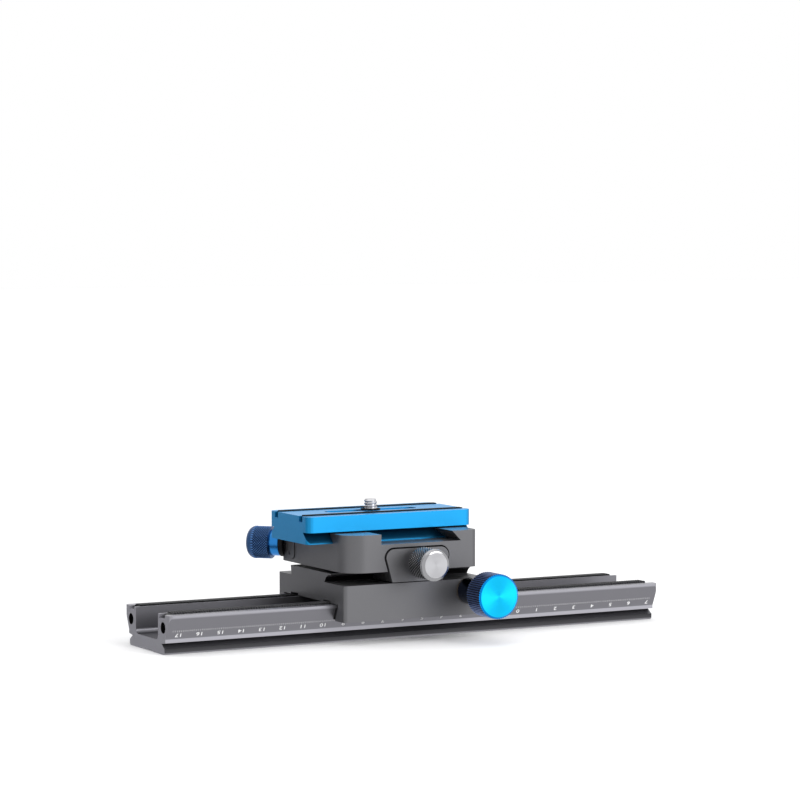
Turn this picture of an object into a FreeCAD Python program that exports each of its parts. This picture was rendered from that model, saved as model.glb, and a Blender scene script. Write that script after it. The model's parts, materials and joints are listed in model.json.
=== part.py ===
import FreeCAD, Part
import Sketcher
import math
import os

# Macro focusing rail, in millimetres.
# +X runs along the rail, +Y to the rear and +Z up. The origin is the centre of the rail's underside.
# The driving sizes stand in the sheet Sizes, and the places worked out from them in the sheet Places.

SIZES = {
    # rail extrusion
    "rail_length": 250.0,
    "rail_width": 48.0,
    "rail_height": 17.5,
    "rail_top_lip": 1.0,
    "rail_flank_inset": 4.4,
    "rail_flank_bottom": 6.8,
    "rail_lower_lip": 1.6,
    "rail_waist_width": 31.4,
    "rail_waist_drop": 0.6,
    "foot_width": 37.5,
    "foot_flank_top": 2.6,
    "foot_chamfer": 0.8,
    "rail_channel_width": 24.0,
    "rail_channel_floor": 5.9,
    "rail_channel_corner": 2.2,
    "relief_width": 13.0,
    "relief_depth": 0.5,
    "rail_end_rounding": 2.0,
    "end_hole_diameter": 5.0,
    "end_hole_depth": 20.0,
    "end_hole_level": 11.7,
    "end_hole_spacing": 34.6,
    # rack and guide strip on the wall tops
    "rack_module": 0.4,
    "rack_width": 6.0,
    "rack_offset": 16.2,
    "rack_stand": 0.8,
    "rack_seat_depth": 1.8,
    "rack_end_gap": 2.5,
    "strip_width": 5.0,
    "strip_stand": 0.6,
    "strip_seat_depth": 1.4,
    "strip_clearance": 0.02,
    "gear_backlash": 0.06,
    # carriage
    "carriage_centre": -8.5,
    "carriage_length": 73.0,
    "carriage_width": 66.0,
    "carriage_bottom": 10.5,
    "carriage_ledge": 26.7,
    "carriage_rounding": 1.8,
    "flank_gap": 2.8,
    "ceiling_gap": 0.4,
    "rack_headroom": 0.6,
    "top_dovetail_width": 40.0,
    "top_dovetail_height": 4.3,
    "top_dovetail_lip": 0.6,
    "top_dovetail_lean": 0.8,
    "cove_radius": 6.3,
    "cove_inset": 0.5,
    # strips that carry the carriage
    "guide_recess": 0.5,
    "guide_clearance": 0.06,
    "guide_margin": 0.4,
    "slide_pad_width": 3.4,
    "slide_pad_thickness": 0.7,
    "gib_screw_diameter": 3.0,
    "gib_screw_length": 6.0,
    "gib_screw_margin": 12.5,
    "gib_screw_level": 13.8,
    # drive
    "drive_margin": 10.3,
    "pinion_teeth": 18.0,
    "pinion_width": 5.4,
    "shaft_diameter": 4.0,
    "running_clearance": 0.03,
    "press_clearance": 0.01,
    "bush_wall": 0.97,
    "front_bush_length": 5.5,
    "bush_flange_diameter": 11.0,
    "bush_flange": 0.8,
    "rear_bush_length": 6.0,
    "pinion_room": 0.6,
    "clip_diameter": 7.0,
    "clip_thickness": 0.7,
    "clip_groove": 0.4,
    "drive_knob_diameter": 20.0,
    "drive_knob_length": 11.5,
    "drive_knob_chamfer": 0.9,
    "drive_collar_diameter": 12.0,
    "drive_collar_length": 15.2,
    "flute_count": 60.0,
    "flute_depth": 0.35,
    "thrust_clearance": 0.1,
    "knob_screw_diameter": 3.0,
    "drag_screw_diameter": 3.0,
    "drag_shoe_height": 1.2,
    "drag_place": 6.6,
    # cross clamp
    "clamp_centre": -10.5,
    "clamp_bottom": 32.0,
    "clamp_floor": 44.2,
    "clamp_top": 48.7,
    "clamp_front_rounding": 10.0,
    "clamp_rounding": 3.0,
    "clamp_land_width": 34.0,
    "clamp_land_depth": 26.0,
    "cross_channel_left": 16.0,
    "cross_channel_right": 24.4,
    "rear_post_relief": 2.3,
    "seat_clearance": 0.05,
    "rear_hook_width": 30.0,
    "rear_hook_thickness": 5.0,
    "hook_clearance": 0.1,
    "ledge_clearance": 0.5,
    # front jaw on the carriage's dovetail
    "front_jaw_offset": 2.0,
    "front_jaw_top": 42.0,
    "front_jaw_top_width": 33.8,
    "front_jaw_bottom_width": 25.4,
    "front_jaw_rounding": 4.0,
    "front_jaw_stand": 0.6,
    "front_pocket_depth": 5.0,
    "jaw_gap": 0.7,
    "toe_clearance": 0.3,
    "lock_screw_diameter": 5.0,
    "lock_screw_clearance": 0.05,
    "lower_screw_level": 35.8,
    "lower_screw_reach": 16.0,
    "silver_knob_diameter": 14.3,
    "silver_knob_length": 13.0,
    "silver_knob_chamfer": 1.5,
    "silver_neck_diameter": 9.0,
    "silver_neck_length": 4.0,
    "jaw_pin_diameter": 3.0,
    "lower_pin_spacing": 20.0,
    "lower_pin_length": 11.0,
    "pin_clearance": 0.05,
    "spring_wire": 0.7,
    "spring_turns": 4.0,
    "spring_clearance": 0.25,
    "spring_length": 7.0,
    # corner jaw
    "corner_jaw_opening": 0.5,
    "corner_jaw_bottom": 33.7,
    "corner_jaw_rounding": 2.5,
    "corner_jaw_nose": 3.0,
    "corner_jaw_heel": 28.5,
    "corner_screw_level": 39.8,
    "corner_screw_reach": 14.0,
    "corner_pin_spacing": 11.0,
    "corner_pin_level": 36.0,
    "corner_pin_start": 20.0,
    "corner_pin_end": 40.0,
    "washer_diameter": 12.4,
    "washer_thickness": 1.9,
    "blue_collar_diameter": 12.0,
    "blue_collar_length": 4.5,
    "blue_knob_diameter": 15.0,
    "blue_knob_length": 11.5,
    "blue_knob_rounding": 3.8,
    # quick-release plate
    "plate_centre": -14.5,
    "plate_length": 83.0,
    "plate_width": 39.0,
    "plate_top": 56.5,
    "plate_shoulder": 49.4,
    "plate_foot_width": 38.0,
    "plate_facet": 0.6,
    "plate_rounding": 3.0,
    "flank_clearance": 0.15,
    "grip_groove_width": 3.2,
    "grip_groove_depth": 2.6,
    "grip_groove_spacing": 24.4,
    "grip_strip_stand": 0.4,
    "grip_strip_inset": 1.5,
    "slot_width": 6.8,
    "slot_length": 46.0,
    "slot_counterbore": 13.0,
    "slot_seat": 50.0,
    "camera_screw_diameter": 6.35,
    "camera_screw_neck": 5.0,
    "camera_screw_thread": 4.3,
    "camera_screw_stand": 5.0,
    "camera_screw_head": 11.0,
    "camera_slot_width": 1.6,
    "camera_slot_depth": 1.4,
    "camera_screw_head_height": 3.2,
    "camera_ring_diameter": 9.0,
    "camera_ring_thickness": 0.5,
}

PLACES = {
    "rail_half": "Sizes.rail_width / 2",
    "rail_end": "Sizes.rail_length / 2",
    "lip_half": "Sizes.rail_width / 2 - Sizes.rail_flank_inset",
    "lip_bottom": "Sizes.rail_flank_bottom - Sizes.rail_lower_lip",
    "waist_half": "Sizes.rail_waist_width / 2",
    "waist_level": "Sizes.rail_flank_bottom - Sizes.rail_lower_lip - Sizes.rail_waist_drop",
    "foot_half": "Sizes.foot_width / 2",
    "channel_half": "Sizes.rail_channel_width / 2",
    "flank_top": "Sizes.rail_height - Sizes.rail_top_lip",
    "flank_slope": "Sizes.rail_flank_inset / (flank_top - Sizes.rail_flank_bottom)",
    "rack_tip": "Sizes.rail_height + Sizes.rack_stand",
    "rack_base": "Sizes.rail_height - Sizes.rack_seat_depth",
    "strip_tip": "Sizes.rail_height + Sizes.strip_stand",
    "strip_base": "Sizes.rail_height - Sizes.strip_seat_depth",
    "strip_end": "rail_end - Sizes.rack_end_gap",
    "carriage_left": "Sizes.carriage_centre - Sizes.carriage_length / 2",
    "carriage_half": "Sizes.carriage_width / 2",
    "cavity_half": "rail_half + Sizes.flank_gap",
    "cavity_ceiling": "Sizes.rail_height + Sizes.ceiling_gap",
    "lip_inner": "cavity_half - (flank_top - Sizes.carriage_bottom) * flank_slope",
    "pad_top": "Sizes.rail_height + Sizes.guide_clearance + Sizes.slide_pad_thickness",
    "pad_inner": "rail_half - Sizes.guide_margin - Sizes.slide_pad_width",
    "pad_outer": "rail_half - Sizes.guide_margin",
    "rack_room_top": "rack_tip + Sizes.rack_headroom",
    "rack_room_half": "Sizes.rack_width / 2 + Sizes.rack_headroom",
    "dovetail_top": "Sizes.carriage_ledge + Sizes.top_dovetail_height",
    "dovetail_half": "Sizes.top_dovetail_width / 2",
    "cove_y": "dovetail_half - Sizes.cove_inset",
    "cove_lip": "dovetail_top - Sizes.top_dovetail_lip",
    "cove_z": "cove_lip - sqrt(Sizes.cove_radius ^ 2 - Sizes.cove_inset ^ 2)",
    "cove_foot": "cove_y - sqrt(Sizes.cove_radius ^ 2 - (Sizes.carriage_ledge - cove_z) ^ 2)",
    "guide_left": "carriage_left + Sizes.guide_recess",
    "guide_length": "Sizes.carriage_length - 2 * Sizes.guide_recess",
    "gib_screw_spacing": "Sizes.carriage_length / 2 - Sizes.gib_screw_margin",
    "pitch_radius": "Sizes.rack_module * Sizes.pinion_teeth / 2",
    "pinion_tip": "pitch_radius + Sizes.rack_module",
    "drive_x": "carriage_left + Sizes.carriage_length - Sizes.drive_margin",
    "drive_z": "rack_tip - Sizes.rack_module + pitch_radius",
    "shaft_radius": "Sizes.shaft_diameter / 2",
    "bush_bore": "shaft_radius + Sizes.running_clearance",
    "bush_radius": "bush_bore + Sizes.bush_wall",
    "pinion_front": "Sizes.rack_offset + Sizes.pinion_width / 2",
    "pinion_rear": "Sizes.rack_offset - Sizes.pinion_width / 2",
    "rear_bush_front": "pinion_rear - Sizes.pinion_room",
    "rear_bush_rear": "rear_bush_front - Sizes.rear_bush_length",
    "clip_front": "rear_bush_rear - Sizes.pinion_room / 2",
    "shaft_rear": "clip_front - Sizes.clip_thickness - Sizes.clip_groove",
    "collar_rear": "carriage_half + Sizes.bush_flange + Sizes.thrust_clearance",
    "drive_knob_rear": "collar_rear + Sizes.drive_collar_length",
    "drive_knob_front": "drive_knob_rear + Sizes.drive_knob_length",
    "shaft_front": "drive_knob_rear + Sizes.drive_knob_length / 2",
    "clamp_half": "carriage_half",
    "clamp_left": "Sizes.clamp_centre - clamp_half",
    "clamp_right": "Sizes.clamp_centre + clamp_half",
    "channel_height": "Sizes.clamp_top - Sizes.clamp_floor",
    "plate_bottom": "Sizes.clamp_floor + Sizes.seat_clearance",
    "plate_foot_half": "Sizes.plate_foot_width / 2",
    "plate_facet_top": "plate_bottom + Sizes.plate_facet",
    "channel_floor_half": "plate_foot_half + Sizes.plate_facet + Sizes.flank_clearance",
    "channel_mouth_half": "channel_floor_half - channel_height",
    "rear_post_face": "channel_floor_half + Sizes.rear_post_relief - Sizes.plate_facet",
    "cross_left": "Sizes.clamp_centre - Sizes.cross_channel_left",
    "cross_right": "Sizes.clamp_centre + Sizes.cross_channel_right",
    "land_bottom": "dovetail_top + Sizes.seat_clearance",
    "hook_bottom": "Sizes.carriage_ledge + Sizes.ledge_clearance",
    "hook_lean": "Sizes.top_dovetail_lean * (dovetail_top - hook_bottom) / Sizes.top_dovetail_height",
    "front_jaw_x": "Sizes.clamp_centre + Sizes.front_jaw_offset",
    "jaw_face": "clamp_half + Sizes.front_jaw_stand",
    "jaw_back": "clamp_half - Sizes.front_pocket_depth + Sizes.seat_clearance",
    "pocket_back": "clamp_half - Sizes.front_pocket_depth",
    "jaw_shoulder": "Sizes.clamp_bottom - Sizes.toe_clearance",
    "toe_radius": "Sizes.cove_radius - Sizes.toe_clearance",
    "toe_tip": "cove_y - sqrt(toe_radius ^ 2 - (hook_bottom - cove_z) ^ 2)",
    "toe_top": "cove_z + toe_radius",
    "jaw_front_of_dovetail": "dovetail_half + Sizes.toe_clearance",
    "screw_radius": "Sizes.lock_screw_diameter / 2",
    "screw_hole": "screw_radius + Sizes.lock_screw_clearance",
    "spring_inner": "screw_radius + Sizes.spring_clearance",
    "spring_room": "spring_inner + Sizes.spring_wire + Sizes.spring_clearance",
    "jaw_pin_radius": "Sizes.jaw_pin_diameter / 2",
    "silver_neck_rear": "jaw_face + Sizes.seat_clearance",
    "silver_knob_rear": "silver_neck_rear + Sizes.silver_neck_length",
    "silver_knob_front": "silver_knob_rear + Sizes.silver_knob_length",
    "opening_step": "Sizes.corner_jaw_opening / sqrt(2)",
    "jaw_left": "clamp_left - opening_step",
    "jaw_rear": "clamp_half + opening_step",
    "jaw_front_top": "channel_mouth_half",
    "jaw_front": "plate_foot_half - Sizes.flank_clearance / 2",
    "jaw_right_top": "cross_right - 2 * channel_floor_half + channel_height",
    "jaw_right": "jaw_right_top - channel_height + Sizes.plate_facet + Sizes.flank_clearance",
    "nose_leg": "Sizes.corner_jaw_nose * sqrt(2)",
    "nose_distance": "clamp_half * sqrt(2) - Sizes.corner_jaw_nose + Sizes.corner_jaw_opening",
    "heel_sum": "Sizes.corner_jaw_heel * sqrt(2) - Sizes.clamp_centre",
    "notch_front": "jaw_front - opening_step - Sizes.flank_clearance",
    "notch_right": "jaw_right + opening_step + Sizes.flank_clearance",
    "notch_bottom": "Sizes.corner_jaw_bottom - Sizes.flank_clearance",
    "notch_heel": "Sizes.corner_jaw_heel - Sizes.corner_jaw_opening - Sizes.flank_clearance",
    "notch_heel_sum": "notch_heel * sqrt(2) - Sizes.clamp_centre",
    "corner_spring_start": "Sizes.corner_jaw_heel - Sizes.seat_clearance - Sizes.spring_length",
    "corner_pin_step": "Sizes.corner_pin_spacing / 2 / sqrt(2)",
    "plate_half": "Sizes.plate_width / 2",
    "plate_left": "Sizes.plate_centre - Sizes.plate_length / 2",
    "plate_right": "Sizes.plate_centre + Sizes.plate_length / 2",
    "neck_half": "plate_foot_half - Sizes.plate_shoulder + plate_facet_top",
    "groove_half": "Sizes.grip_groove_spacing / 2",
    "camera_screw_radius": "Sizes.camera_screw_diameter / 2",
    "camera_head_bottom": "Sizes.slot_seat - Sizes.seat_clearance - Sizes.camera_screw_head_height",
}

FRONT = FreeCAD.Vector(0, -1, 0)
REAR = FreeCAD.Vector(0, 1, 0)
CORNER = FreeCAD.Vector(-1, 1, 0)
SIDEWAYS = FreeCAD.Vector(1, 1, 0)
UP = FreeCAD.Vector(0, 0, 1)
DOWN = FreeCAD.Vector(0, 0, -1)
TOLERANCE = 1e-6
CHORDS_PER_TURN = 8

doc = FreeCAD.newDocument("MacroFocusingRail")
parts = []


# ---------------------------------------------------------------- sheets

def fill_sheet(name, cells):
    """Write one alias and value per row."""
    sheet = doc.addObject("Spreadsheet::Sheet", name)
    for row, (alias, content) in enumerate(cells.items(), start=1):
        sheet.set(f"A{row}", alias)
        sheet.set(f"B{row}", str(content))
        sheet.setAlias(f"B{row}", alias)
    doc.recompute()
    return sheet


sizes_sheet = fill_sheet("Sizes", SIZES)
places_sheet = fill_sheet("Places", {name: "=" + formula for name, formula in PLACES.items()})


def value(formula):
    """The number that a formula over the two sheets gives."""
    return float(places_sheet.evalExpression(str(formula)))


def size(name):
    return value("Sizes." + name)


def place(name):
    return value("Places." + name)


# ---------------------------------------------------------------- sketches

def sketch_on(body, role, offset="0"):
    """A sketch on one of the body's own origin planes, moved along the plane's normal."""
    sketch = body.newObject("Sketcher::SketchObject", body.Name + "Sketch")
    plane = [feature for feature in body.Origin.OriginFeatures if feature.Role == role][0]
    sketch.AttachmentSupport = [(plane, "")]
    sketch.MapMode = "FlatFace"
    sketch.setExpression("AttachmentOffset.Base.z", offset)
    return sketch


def arc_between(start, end, radius, side):
    """An arc from start to end whose centre lies to the left (side 1) or right (side -1)."""
    chord = end - start
    middle = start + chord * 0.5
    normal = FreeCAD.Vector(-chord.y, chord.x, 0).normalize()
    height = math.sqrt(max(radius * radius - chord.Length * chord.Length / 4, 0))
    centre = middle + normal * height * side
    return Part.Arc(start, centre - normal * radius * side, end)


def end_at(sketch, index, point):
    """Which end of an edge, 1 or 2, lies at a point."""
    return 1 if sketch.getPoint(index, 1).distanceToPoint(point) < TOLERANCE else 2


def bind(sketch, constraint, formula):
    index = sketch.addConstraint(constraint)
    sketch.setExpression(f"Constraints[{index}]", formula)


def outline(sketch, corners):
    """A closed outline. Each corner is (x, y), or (x, y, radius, side) where an arc leads to the next."""
    points = [FreeCAD.Vector(value(corner[0]), value(corner[1]), 0) for corner in corners]
    first = sketch.GeometryCount
    count = len(corners)
    for number, corner in enumerate(corners):
        start, end = points[number], points[(number + 1) % count]
        edge = Part.LineSegment(start, end)
        if len(corner) == 4:
            edge = arc_between(start, end, value(corner[2]), corner[3])
        sketch.addGeometry(edge, False)
    for number, corner in enumerate(corners):
        edge, following = first + number, first + (number + 1) % count
        joint = points[(number + 1) % count]
        ends = (edge, end_at(sketch, edge, joint), following, end_at(sketch, following, joint))
        sketch.addConstraint(Sketcher.Constraint("Coincident", *ends))
        start = (edge, end_at(sketch, edge, points[number]))
        bind(sketch, Sketcher.Constraint("DistanceX", -1, 1, *start, points[number].x), corner[0])
        bind(sketch, Sketcher.Constraint("DistanceY", -1, 1, *start, points[number].y), corner[1])
        if len(corner) == 4:
            bind(sketch, Sketcher.Constraint("Radius", edge, value(corner[2])), corner[2])


def circle(sketch, across, along, radius):
    """A circle whose centre and radius are formulas."""
    centre = FreeCAD.Vector(value(across), value(along), 0)
    index = sketch.addGeometry(Part.Circle(centre, FreeCAD.Vector(0, 0, 1), value(radius)), False)
    bind(sketch, Sketcher.Constraint("DistanceX", -1, 1, index, 3, centre.x), across)
    bind(sketch, Sketcher.Constraint("DistanceY", -1, 1, index, 3, centre.y), along)
    bind(sketch, Sketcher.Constraint("Radius", index, value(radius)), radius)


def rectangle(sketch, left, right, low, high):
    outline(sketch, [(left, low), (right, low), (right, high), (left, high)])


def rounded_rectangle(sketch, left, right, low, high, radii):
    """A rectangle with rounded corners. radii run from the low left corner anticlockwise."""
    a, b, c, d = radii
    outline(sketch, [
        (f"{left} + {a}", low), (f"{right} - {b}", low, b, 1),
        (right, f"{low} + {b}"), (right, f"{high} - {c}", c, 1),
        (f"{right} - {c}", high), (f"{left} + {d}", high, d, 1),
        (left, f"{high} - {d}"), (left, f"{low} + {a}", a, 1),
    ])


# ---------------------------------------------------------------- features

def new_body(label):
    body = doc.addObject("PartDesign::Body", label)
    body.Label = label
    parts.append(body)
    return body


def pad(body, sketch, length, backwards=False):
    feature = body.newObject("PartDesign::Pad", body.Name + "Pad")
    feature.Profile = sketch
    feature.setExpression("Length", length)
    feature.Reversed = backwards
    doc.recompute()
    return feature


def pocket(body, sketch, length, backwards=False):
    """A cut against the sketch's normal, or along it where backwards is set."""
    before = body.Shape.Volume
    feature = body.newObject("PartDesign::Pocket", body.Name + "Pocket")
    feature.Profile = sketch
    feature.setExpression("Length", length)
    feature.Reversed = backwards
    doc.recompute()
    if body.Shape.Volume > before - TOLERANCE:
        raise RuntimeError(f"{feature.Name} of {body.Label} cuts nothing")
    return feature


def cut_block(body, across, along, low, high):
    """Cut a block with vertical sides. across and along are pairs of formulas."""
    sketch = sketch_on(body, "XY_Plane", low)
    rectangle(sketch, across[0], across[1], along[0], along[1])
    pocket(body, sketch, f"{high} - ({low})", True)


def bore(body, role, offset, centre, radius, depth, backwards=False):
    """A round hole that starts on a plane parallel to an origin plane."""
    sketch = sketch_on(body, role, offset)
    circle(sketch, centre[0], centre[1], radius)
    return pocket(body, sketch, depth, backwards)


def revolve(body, corners):
    """A full turn of a profile, given as (radius, height) corners, about the body's Z axis."""
    sketch = sketch_on(body, "XZ_Plane")
    outline(sketch, corners)
    feature = body.newObject("PartDesign::Revolution", body.Name + "Turn")
    feature.Profile = sketch
    feature.ReferenceAxis = (sketch, ["V_Axis"])
    feature.Angle = 360
    doc.recompute()
    return feature


def facing(direction):
    """The turn that takes Z to a direction, with Y kept upright where the direction is level."""
    if abs(direction.z) > TOLERANCE:
        return FreeCAD.Rotation(UP, direction)
    return FreeCAD.Rotation(UP.cross(direction), UP, direction, "ZYX")


def put(thing, direction, base):
    """Turn an object's own Z axis to a direction and move its origin to base, three formulas."""
    thing.Placement = FreeCAD.Placement(FreeCAD.Vector(), facing(direction))
    for axis, formula in zip("xyz", base):
        thing.setExpression("Placement.Base." + axis, formula)


def turned(label, corners, direction, base):
    body = new_body(label)
    revolve(body, corners)
    put(body, direction, base)
    return body


def ring(inner, outer, low, high):
    """The profile corners of a plain ring or tube."""
    return [(inner, low), (outer, low), (outer, high), (inner, high)]


def rod(radius, low, high):
    """The profile corners of a plain rod."""
    return [("0", low), (radius, low), (radius, high), ("0", high)]


def pin(name, radius, length, direction, base):
    """One plain pin, as a member of a group."""
    solid = doc.addObject("Part::Cylinder", name)
    solid.setExpression("Radius", radius)
    solid.setExpression("Height", length)
    put(solid, direction, base)
    return solid


def group(label, members):
    """Several separate solids in one named piece."""
    compound = doc.addObject("Part::Compound", label)
    compound.Label = label
    compound.Links = members
    parts.append(compound)
    doc.recompute()
    return compound


def coded(label, shape):
    """A piece whose shape is worked out by code."""
    feature = doc.addObject("Part::Feature", label)
    feature.Label = label
    feature.Shape = shape
    feature.Placement = FreeCAD.Placement()
    parts.append(feature)
    return feature


def corner_point(distance, aside, level):
    """A point on the clamp's rear left diagonal, moved aside towards the rear right."""
    return (
        f"Sizes.clamp_centre + ({aside} - ({distance})) / sqrt(2)",
        f"(({distance}) + {aside}) / sqrt(2)",
        level,
    )


def mirrored(corners):
    """Corners given for the rear half, followed by their mirror images for the front half."""
    front = [(f"-({corner[0]})",) + tuple(corner[1:]) for corner in reversed(corners)]
    return corners + front


# ---------------------------------------------------------------- rail

def build_rail():
    body = new_body("rail_extrusion")
    sketch = sketch_on(body, "YZ_Plane", "-Places.rail_end")
    outline(sketch, [
        ("Sizes.relief_width / 2", "Sizes.relief_depth"),
        ("Sizes.relief_width / 2 + Sizes.relief_depth", "0"),
        ("Places.foot_half - Sizes.foot_chamfer", "0"),
        ("Places.foot_half", "Sizes.foot_chamfer"),
        ("Places.foot_half", "Sizes.foot_flank_top"),
        ("Places.waist_half", "Places.waist_level"),
        ("Places.lip_half", "Places.lip_bottom"),
        ("Places.lip_half", "Sizes.rail_flank_bottom"),
        ("Places.rail_half", "Places.flank_top"),
        ("Places.rail_half", "Sizes.rail_height"),
        ("Places.channel_half", "Sizes.rail_height"),
        ("Places.channel_half", "Sizes.rail_channel_floor + Sizes.rail_channel_corner",
         "Sizes.rail_channel_corner", -1),
        ("Places.channel_half - Sizes.rail_channel_corner", "Sizes.rail_channel_floor"),
        ("-Places.channel_half + Sizes.rail_channel_corner", "Sizes.rail_channel_floor",
         "Sizes.rail_channel_corner", -1),
        ("-Places.channel_half", "Sizes.rail_channel_floor + Sizes.rail_channel_corner"),
        ("-Places.channel_half", "Sizes.rail_height"),
        ("-Places.rail_half", "Sizes.rail_height"),
        ("-Places.rail_half", "Places.flank_top"),
        ("-Places.lip_half", "Sizes.rail_flank_bottom"),
        ("-Places.lip_half", "Places.lip_bottom"),
        ("-Places.waist_half", "Places.waist_level"),
        ("-Places.foot_half", "Sizes.foot_flank_top"),
        ("-Places.foot_half", "Sizes.foot_chamfer"),
        ("-Places.foot_half + Sizes.foot_chamfer", "0"),
        ("-Sizes.relief_width / 2 - Sizes.relief_depth", "0"),
        ("-Sizes.relief_width / 2", "Sizes.relief_depth"),
    ])
    pad(body, sketch, "Sizes.rail_length")
    cut_block(
        body, ("-Places.rail_end", "Places.rail_end"),
        ("-Sizes.rack_offset - Sizes.rack_width / 2", "-Sizes.rack_offset + Sizes.rack_width / 2"),
        "Places.rack_base", "Sizes.rail_height")
    cut_block(
        body, ("-Places.rail_end", "Places.rail_end"),
        ("Sizes.rack_offset - Sizes.strip_width / 2", "Sizes.rack_offset + Sizes.strip_width / 2"),
        "Places.strip_base", "Sizes.rail_height")
    for offset, inwards in (("-Places.rail_end", True), ("Places.rail_end", False)):
        sketch = sketch_on(body, "YZ_Plane", offset)
        for side in ("-", ""):
            circle(sketch, f"{side}Sizes.end_hole_spacing / 2", "Sizes.end_hole_level",
                   "Sizes.end_hole_diameter / 2")
        pocket(body, sketch, "Sizes.end_hole_depth", inwards)
    sketch = sketch_on(body, "XY_Plane", "Places.lip_bottom")
    for along, across, side in (("", "", 1), ("-", "", -1), ("-", "-", 1), ("", "-", -1)):
        outline(sketch, [
            (f"{along}Places.rail_end", f"{across}(Places.rail_half - Sizes.rail_end_rounding)",
             "Sizes.rail_end_rounding", side),
            (f"{along}(Places.rail_end - Sizes.rail_end_rounding)", f"{across}Places.rail_half"),
            (f"{along}Places.rail_end", f"{across}Places.rail_half"),
        ])
    pocket(body, sketch, "Sizes.rail_height", True)


def build_rack():
    """Straight toothed strip, with the tooth flanks of a 20 degree rack and a tooth centred on X = 0."""
    module = size("rack_module")
    pitch = math.pi * module
    tip = place("rack_tip")
    root = tip - 2.25 * module
    base = place("rack_base")
    end = place("strip_end")
    lean = math.tan(math.radians(20))
    half_at_pitch = pitch / 4 - size("gear_backlash") / 2
    half_tip = half_at_pitch - module * lean
    half_root = half_at_pitch + 1.25 * module * lean
    ramp = tip - root + module
    count = int((end - ramp - half_root) / pitch)
    profile = [(-end, base), (end, base), (end, root - module), (end - ramp, root)]
    for tooth in range(count, -count - 1, -1):
        centre = tooth * pitch
        profile.append((centre + half_root, root))
        profile.append((centre + half_tip, tip))
        profile.append((centre - half_tip, tip))
        profile.append((centre - half_root, root))
    profile += [(-end + ramp, root), (-end, root - module), (-end, base)]
    half_width = size("rack_width") / 2 - size("strip_clearance")
    front = -size("rack_offset") - half_width
    wire = Part.makePolygon([FreeCAD.Vector(across, front, level) for across, level in profile])
    coded("gear_rack", Part.Face(wire).extrude(FreeCAD.Vector(0, 2 * half_width, 0)))


def build_guide_strip():
    body = new_body("guide_strip")
    rear = "-Sizes.rack_offset - Sizes.strip_width / 2 + Sizes.strip_clearance"
    sketch = sketch_on(body, "XZ_Plane", rear)
    outline(sketch, [
        ("-Places.strip_end", "Places.strip_base"),
        ("Places.strip_end", "Places.strip_base"),
        ("Places.strip_end", "Sizes.rail_height"),
        ("Places.strip_end - Sizes.strip_stand", "Places.strip_tip"),
        ("-Places.strip_end + Sizes.strip_stand", "Places.strip_tip"),
        ("-Places.strip_end", "Sizes.rail_height"),
    ])
    pad(body, sketch, "Sizes.strip_width - 2 * Sizes.strip_clearance")


# ---------------------------------------------------------------- carriage

def round_upright_edges(body, radius_formula, on_corner):
    """Round the vertical edges that a test picks."""
    picked = []
    for number, edge in enumerate(body.Shape.Edges, start=1):
        box = edge.BoundBox
        upright = box.XLength < TOLERANCE and box.YLength < TOLERANCE
        if upright and on_corner(box.Center):
            picked.append(f"Edge{number}")
    base = body.Tip
    feature = body.newObject("PartDesign::Fillet", body.Name + "Rounding")
    feature.Base = (base, picked)
    feature.setExpression("Radius", radius_formula)
    doc.recompute()


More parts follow.
